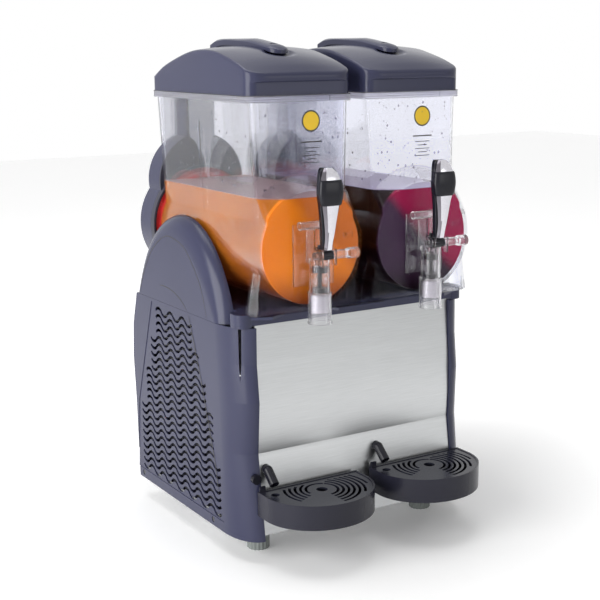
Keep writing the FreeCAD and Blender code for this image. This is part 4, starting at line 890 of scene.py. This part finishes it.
PIVOT_Y = -0.173
PIVOT_Z = 0.437
CHROME_DEPTH = 0.005
STEM_INSET = 0.0001
STEM_STEPS = 40
STEM_HALF = [(0.008, 0.0058), (0.020, 0.0060), (0.036, 0.0078), (0.052, 0.0102), (0.067, 0.0130),
             (0.085, 0.0158), (0.100, 0.0150), (0.110, 0.0118), (0.117, 0.0060)]
STEM_REACH = [(0.008, 0.003), (0.017, 0.005), (0.033, 0.008), (0.067, 0.011), (0.085, 0.012),
              (0.100, 0.011), (0.111, 0.008), (0.117, 0.004)]
# The stem's front as pairs of share of its half width and depth behind the foremost face
STEM_FRONT = [(-1, 0.0036), (-0.62, 0.0004), (-0.45, 0.0), (0.7, 0.0), (0.82, 0.0004), (1, 0.0026)]
FLANK_NORMAL = -0.3
GRIP_LOW = 0.068
GRIP_HIGH = 0.1015
GRIP_HALF = [(GRIP_LOW, 0.0162), (0.084, 0.0188), (GRIP_HIGH, 0.0172)]
GRIP_FRONT = 0.0022
GRIP_BACK = 0.010
GRIP_ROUND = 0.0008
GRIP_STEPS = 16
GRIP_EDGE_STEPS = 2
GRIP_POINTS = 56
GRIP_SQUARENESS = 0.55

# A darker copy of the chrome for the stem's left-facing facets: a painted dark reflection
CHROME_PAINTED_REFLECTION = brushed("chrome_painted_dark_reflection", (0.16, 0.15, 0.17), 0.16, (60, 60, 60), 0.02)


def make_stem(side):
    """The lever's chrome front: narrow at its foot, wide at its head, with a broad facet on each side;
    faces turned to the left take a painted dark reflection.
    """
    x = middle("lever_stem_" + side)[0]
    rings = []
    low, high = STEM_HALF[0][0], STEM_HALF[-1][0]
    for step in range(STEM_STEPS + 1):
        rise = low + (high - low) * step / STEM_STEPS
        half = smooth_value(STEM_HALF, rise)
        back = PIVOT_Y - smooth_value(STEM_REACH, rise) - STEM_INSET
        front = back - CHROME_DEPTH
        outline = [(-half, back)] + [(share * half, front + depth) for share, depth in STEM_FRONT]
        rings.append([(x + px, py, PIVOT_Z + rise) for px, py in outline + [(half, back)]])
    piece = ring_piece("chrome_stem_" + side, rings, MATERIALS["chrome"], sharp=25.0)
    piece.data.materials.append(CHROME_PAINTED_REFLECTION)
    # Faces turned to the left take the dark chrome, as painted reflection
    for face in piece.data.polygons:
        if face.normal.x < FLANK_NORMAL:
            face.material_index = 1
    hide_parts("lever_stem_" + side)
    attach(piece, "lever_" + side)


def squared(value):
    """A cosine or sine drawn out towards the corners of a square."""
    return math.copysign(abs(value) ** GRIP_SQUARENESS, value)


def make_grip(side):
    """The black band round the lever's head, bulged to its front, with rounded edges."""
    x = middle("lever_grip_" + side)[0]
    rings = []
    for step in range(GRIP_STEPS + 1):
        rise = GRIP_LOW + (GRIP_HIGH - GRIP_LOW) * step / GRIP_STEPS
        edge = min(step, GRIP_STEPS - step) / GRIP_EDGE_STEPS
        draw = GRIP_ROUND * max(0.0, 1 - edge) ** 2
        half = smooth_value(GRIP_HALF, rise) - draw
        reach = smooth_value(STEM_REACH, rise)
        front = PIVOT_Y - reach - CHROME_DEPTH - GRIP_FRONT + draw
        back = PIVOT_Y - reach + GRIP_BACK - draw
        rings.append([(x + half * squared(c), (front + back) / 2 + (back - front) / 2 * squared(s),
                       PIVOT_Z + rise) for c, s in circle(GRIP_POINTS)])
    piece = ring_piece("grip_band_" + side, rings, MATERIALS["black_plastic"], sharp=50.0)
    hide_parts("lever_grip_" + side)
    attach(piece, "lever_" + side)


# Dark sheets behind the vents, painted shade seen through the slots: depth along x from the middle plane,
# then y and z

SHEET_X = (0.1912, 0.1924)
SHEET_Y = (-0.052, 0.2075)
SHEET_Z = (0.048, 0.331)
SHEET_ROUND = 0.0003
SHEET_CORNER = 0.01


def make_vent_shade_sheet(side):
    """A dark sheet with rounded edges behind the vents, as painted shade inside the slots."""
    centre, half = sum(SHEET_Y) / 2, (SHEET_Y[1] - SHEET_Y[0]) / 2
    inner, outer = SHEET_X
    rings = []
    for depth, inset in ((inner, SHEET_ROUND), (inner + SHEET_ROUND, 0.0), (outer - SHEET_ROUND, 0.0),
                         (outer, SHEET_ROUND)):
        plan = round_plan(half - inset, SHEET_Z[0] + inset, SHEET_Z[1] - inset, SHEET_CORNER - inset,
                          steps=5, side_steps=4)
        rings.append([(SIDES[side] * depth, centre + a, b) for a, b in plan])
    piece = ring_piece("vent_shade_sheet_" + side, rings, MATERIALS["black_plastic"])
    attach(piece, "housing")


# All pieces of the object

for side in SIDES:
    make_lid(side)
    make_handle(side)
for side in SIDES:
    make_drink(side, DRINKS[side])
for side in SIDES:
    make_rim_trim("rim_band_", side, BAND_PROFILE, BAND)
    make_rim_trim("rim_seam_shade_", side, SEAM_SHADE_PROFILE, DARK_PRINT_AND_SHADE)
    make_level_mark(side, YELLOW, DARK_PRINT_AND_SHADE)
    make_drops(side, DROPS)
    make_seal_ring(side, MATERIALS["black_plastic"])
    make_liner(side, LINER)
for side in SIDES:
    for name, route in SIDE_SHADE_LINES.items():
        make_line(name, side, route, DARK_PRINT_AND_SHADE)
for side in SIDES:
    make_stem(side)
    make_grip(side)
for side in SIDES:
    make_vent_shade_sheet(side)


# Stage, lights and camera

FLOOR_REACH = 6.0
FLOOR_ROUGHNESS = 0.55
FLOOR_CLOUD_SCALE = 2.0
FLOOR_RANGE = (0.25, 0.85)
FLOOR_LIFT = (0.12, 0.5)
WORLD_LIGHT = 0.32

# Each lamp's name, place, target, size and power in watts
LAMPS = (("side_panel", (-2.4, -0.5, 0.9), (0, 0, 0.35), (2.0, 2.2), 84),
         ("top_panel", (-0.2, 0.3, 2.6), (0, 0, 0.35), (1.8, 1.8), 30),
         ("front_fill", (1.2, -2.6, 0.9), (0, 0, 0.3), (1.2, 1.2), 6))


def area_light(name, place, target, size, power):
    """A soft rectangular lamp that looks at a point."""
    data = bpy.data.lights.new(name, "AREA")
    data.shape = "RECTANGLE"
    data.size, data.size_y = size
    data.energy = power
    lamp = bpy.data.objects.new(name, data)
    lamp.location = place
    lamp.rotation_euler = (Vector(target) - Vector(place)).to_track_quat("-Z", "Y").to_euler()
    bpy.context.scene.collection.objects.link(lamp)


def seen_white(owner):
    """1 where a surface is seen, straight, through clear plastic or in a mirror, and 0 elsewhere."""
    path = add_node(owner, "LightPath")
    seen = path.outputs["Is Camera Ray"]
    for name in ("Is Transmission Ray", "Is Glossy Ray"):
        seen = combine(owner, "MAXIMUM", seen, path.outputs[name])
    return seen


def make_floor():
    """A pale floor that shows white and keeps the object's shadow."""
    mesh = bpy.data.meshes.new("floor")
    corners = [(FLOOR_REACH * a, FLOOR_REACH * b, 0) for a, b in ((-1, -1), (1, -1), (1, 1), (-1, 1))]
    mesh.from_pydata(corners, [], [(0, 1, 2, 3)])
    floor = bpy.data.objects.new("floor", mesh)
    bpy.context.scene.collection.objects.link(floor)
    mat, sockets = material("pale_floor", FLOOR_WHITE, FLOOR_ROUGHNESS)
    vector = place_nodes(mat)
    tone = two_tones(mat, noise(mat, vector, FLOOR_CLOUD_SCALE), FLOOR_WHITE, FLOOR_BRIGHT)
    put(mat, tone, sockets["Base Color"])
    mesh.materials.append(mat)
    put(mat, (1, 1, 1), sockets["Emission Color"])
    distance = add_node(mat, "VectorMath")
    distance.operation = "LENGTH"
    put(mat, vector, distance.inputs[0])
    away = map_range(mat, distance.outputs["Value"], FLOOR_RANGE, smooth=True)
    glow = combine(mat, "MULTIPLY", seen_white(mat), map_range(mat, away, target=FLOOR_LIFT))
    put(mat, glow, sockets["Emission Strength"])


def make_world():
    """White behind everything, and a soft even light on the object."""
    world = bpy.data.worlds.new("studio")
    bpy.context.scene.world = world
    world.use_nodes = True
    sockets = world.node_tree.nodes["Background"].inputs
    put(world, (1, 1, 1), sockets["Color"])
    put(world, map_range(world, seen_white(world), target=(WORLD_LIGHT, 1.0)), sockets["Strength"])


def make_camera():
    """The photograph's camera."""
    data = bpy.data.cameras.new("photo_camera")
    data.sensor_width = SENSOR_WIDTH
    data.lens = CAMERA_LENS
    data.clip_end = CAMERA_RANGE
    camera = bpy.data.objects.new("photo_camera", data)
    azimuth, elevation = math.radians(CAMERA_AZIMUTH), math.radians(CAMERA_ELEVATION)
    back = Vector((math.sin(azimuth) * math.cos(elevation), -math.cos(azimuth) * math.cos(elevation),
                   math.sin(elevation)))
    right = (-back).cross(Vector((0, 0, 1))).normalized()
    up = back.cross(right)
    roll = math.radians(CAMERA_ROLL)
    c, s = math.cos(roll), math.sin(roll)
    turn = Matrix((c * right + s * up, c * up - s * right, back)).transposed().to_4x4()
    camera.matrix_world = Matrix.Translation(CAMERA_PLACE) @ turn
    bpy.context.scene.collection.objects.link(camera)
    bpy.context.scene.camera = camera


make_floor()
make_world()
make_camera()
for lamp in LAMPS:
    area_light(*lamp)

bpy.context.scene.view_settings.view_transform = "Standard"
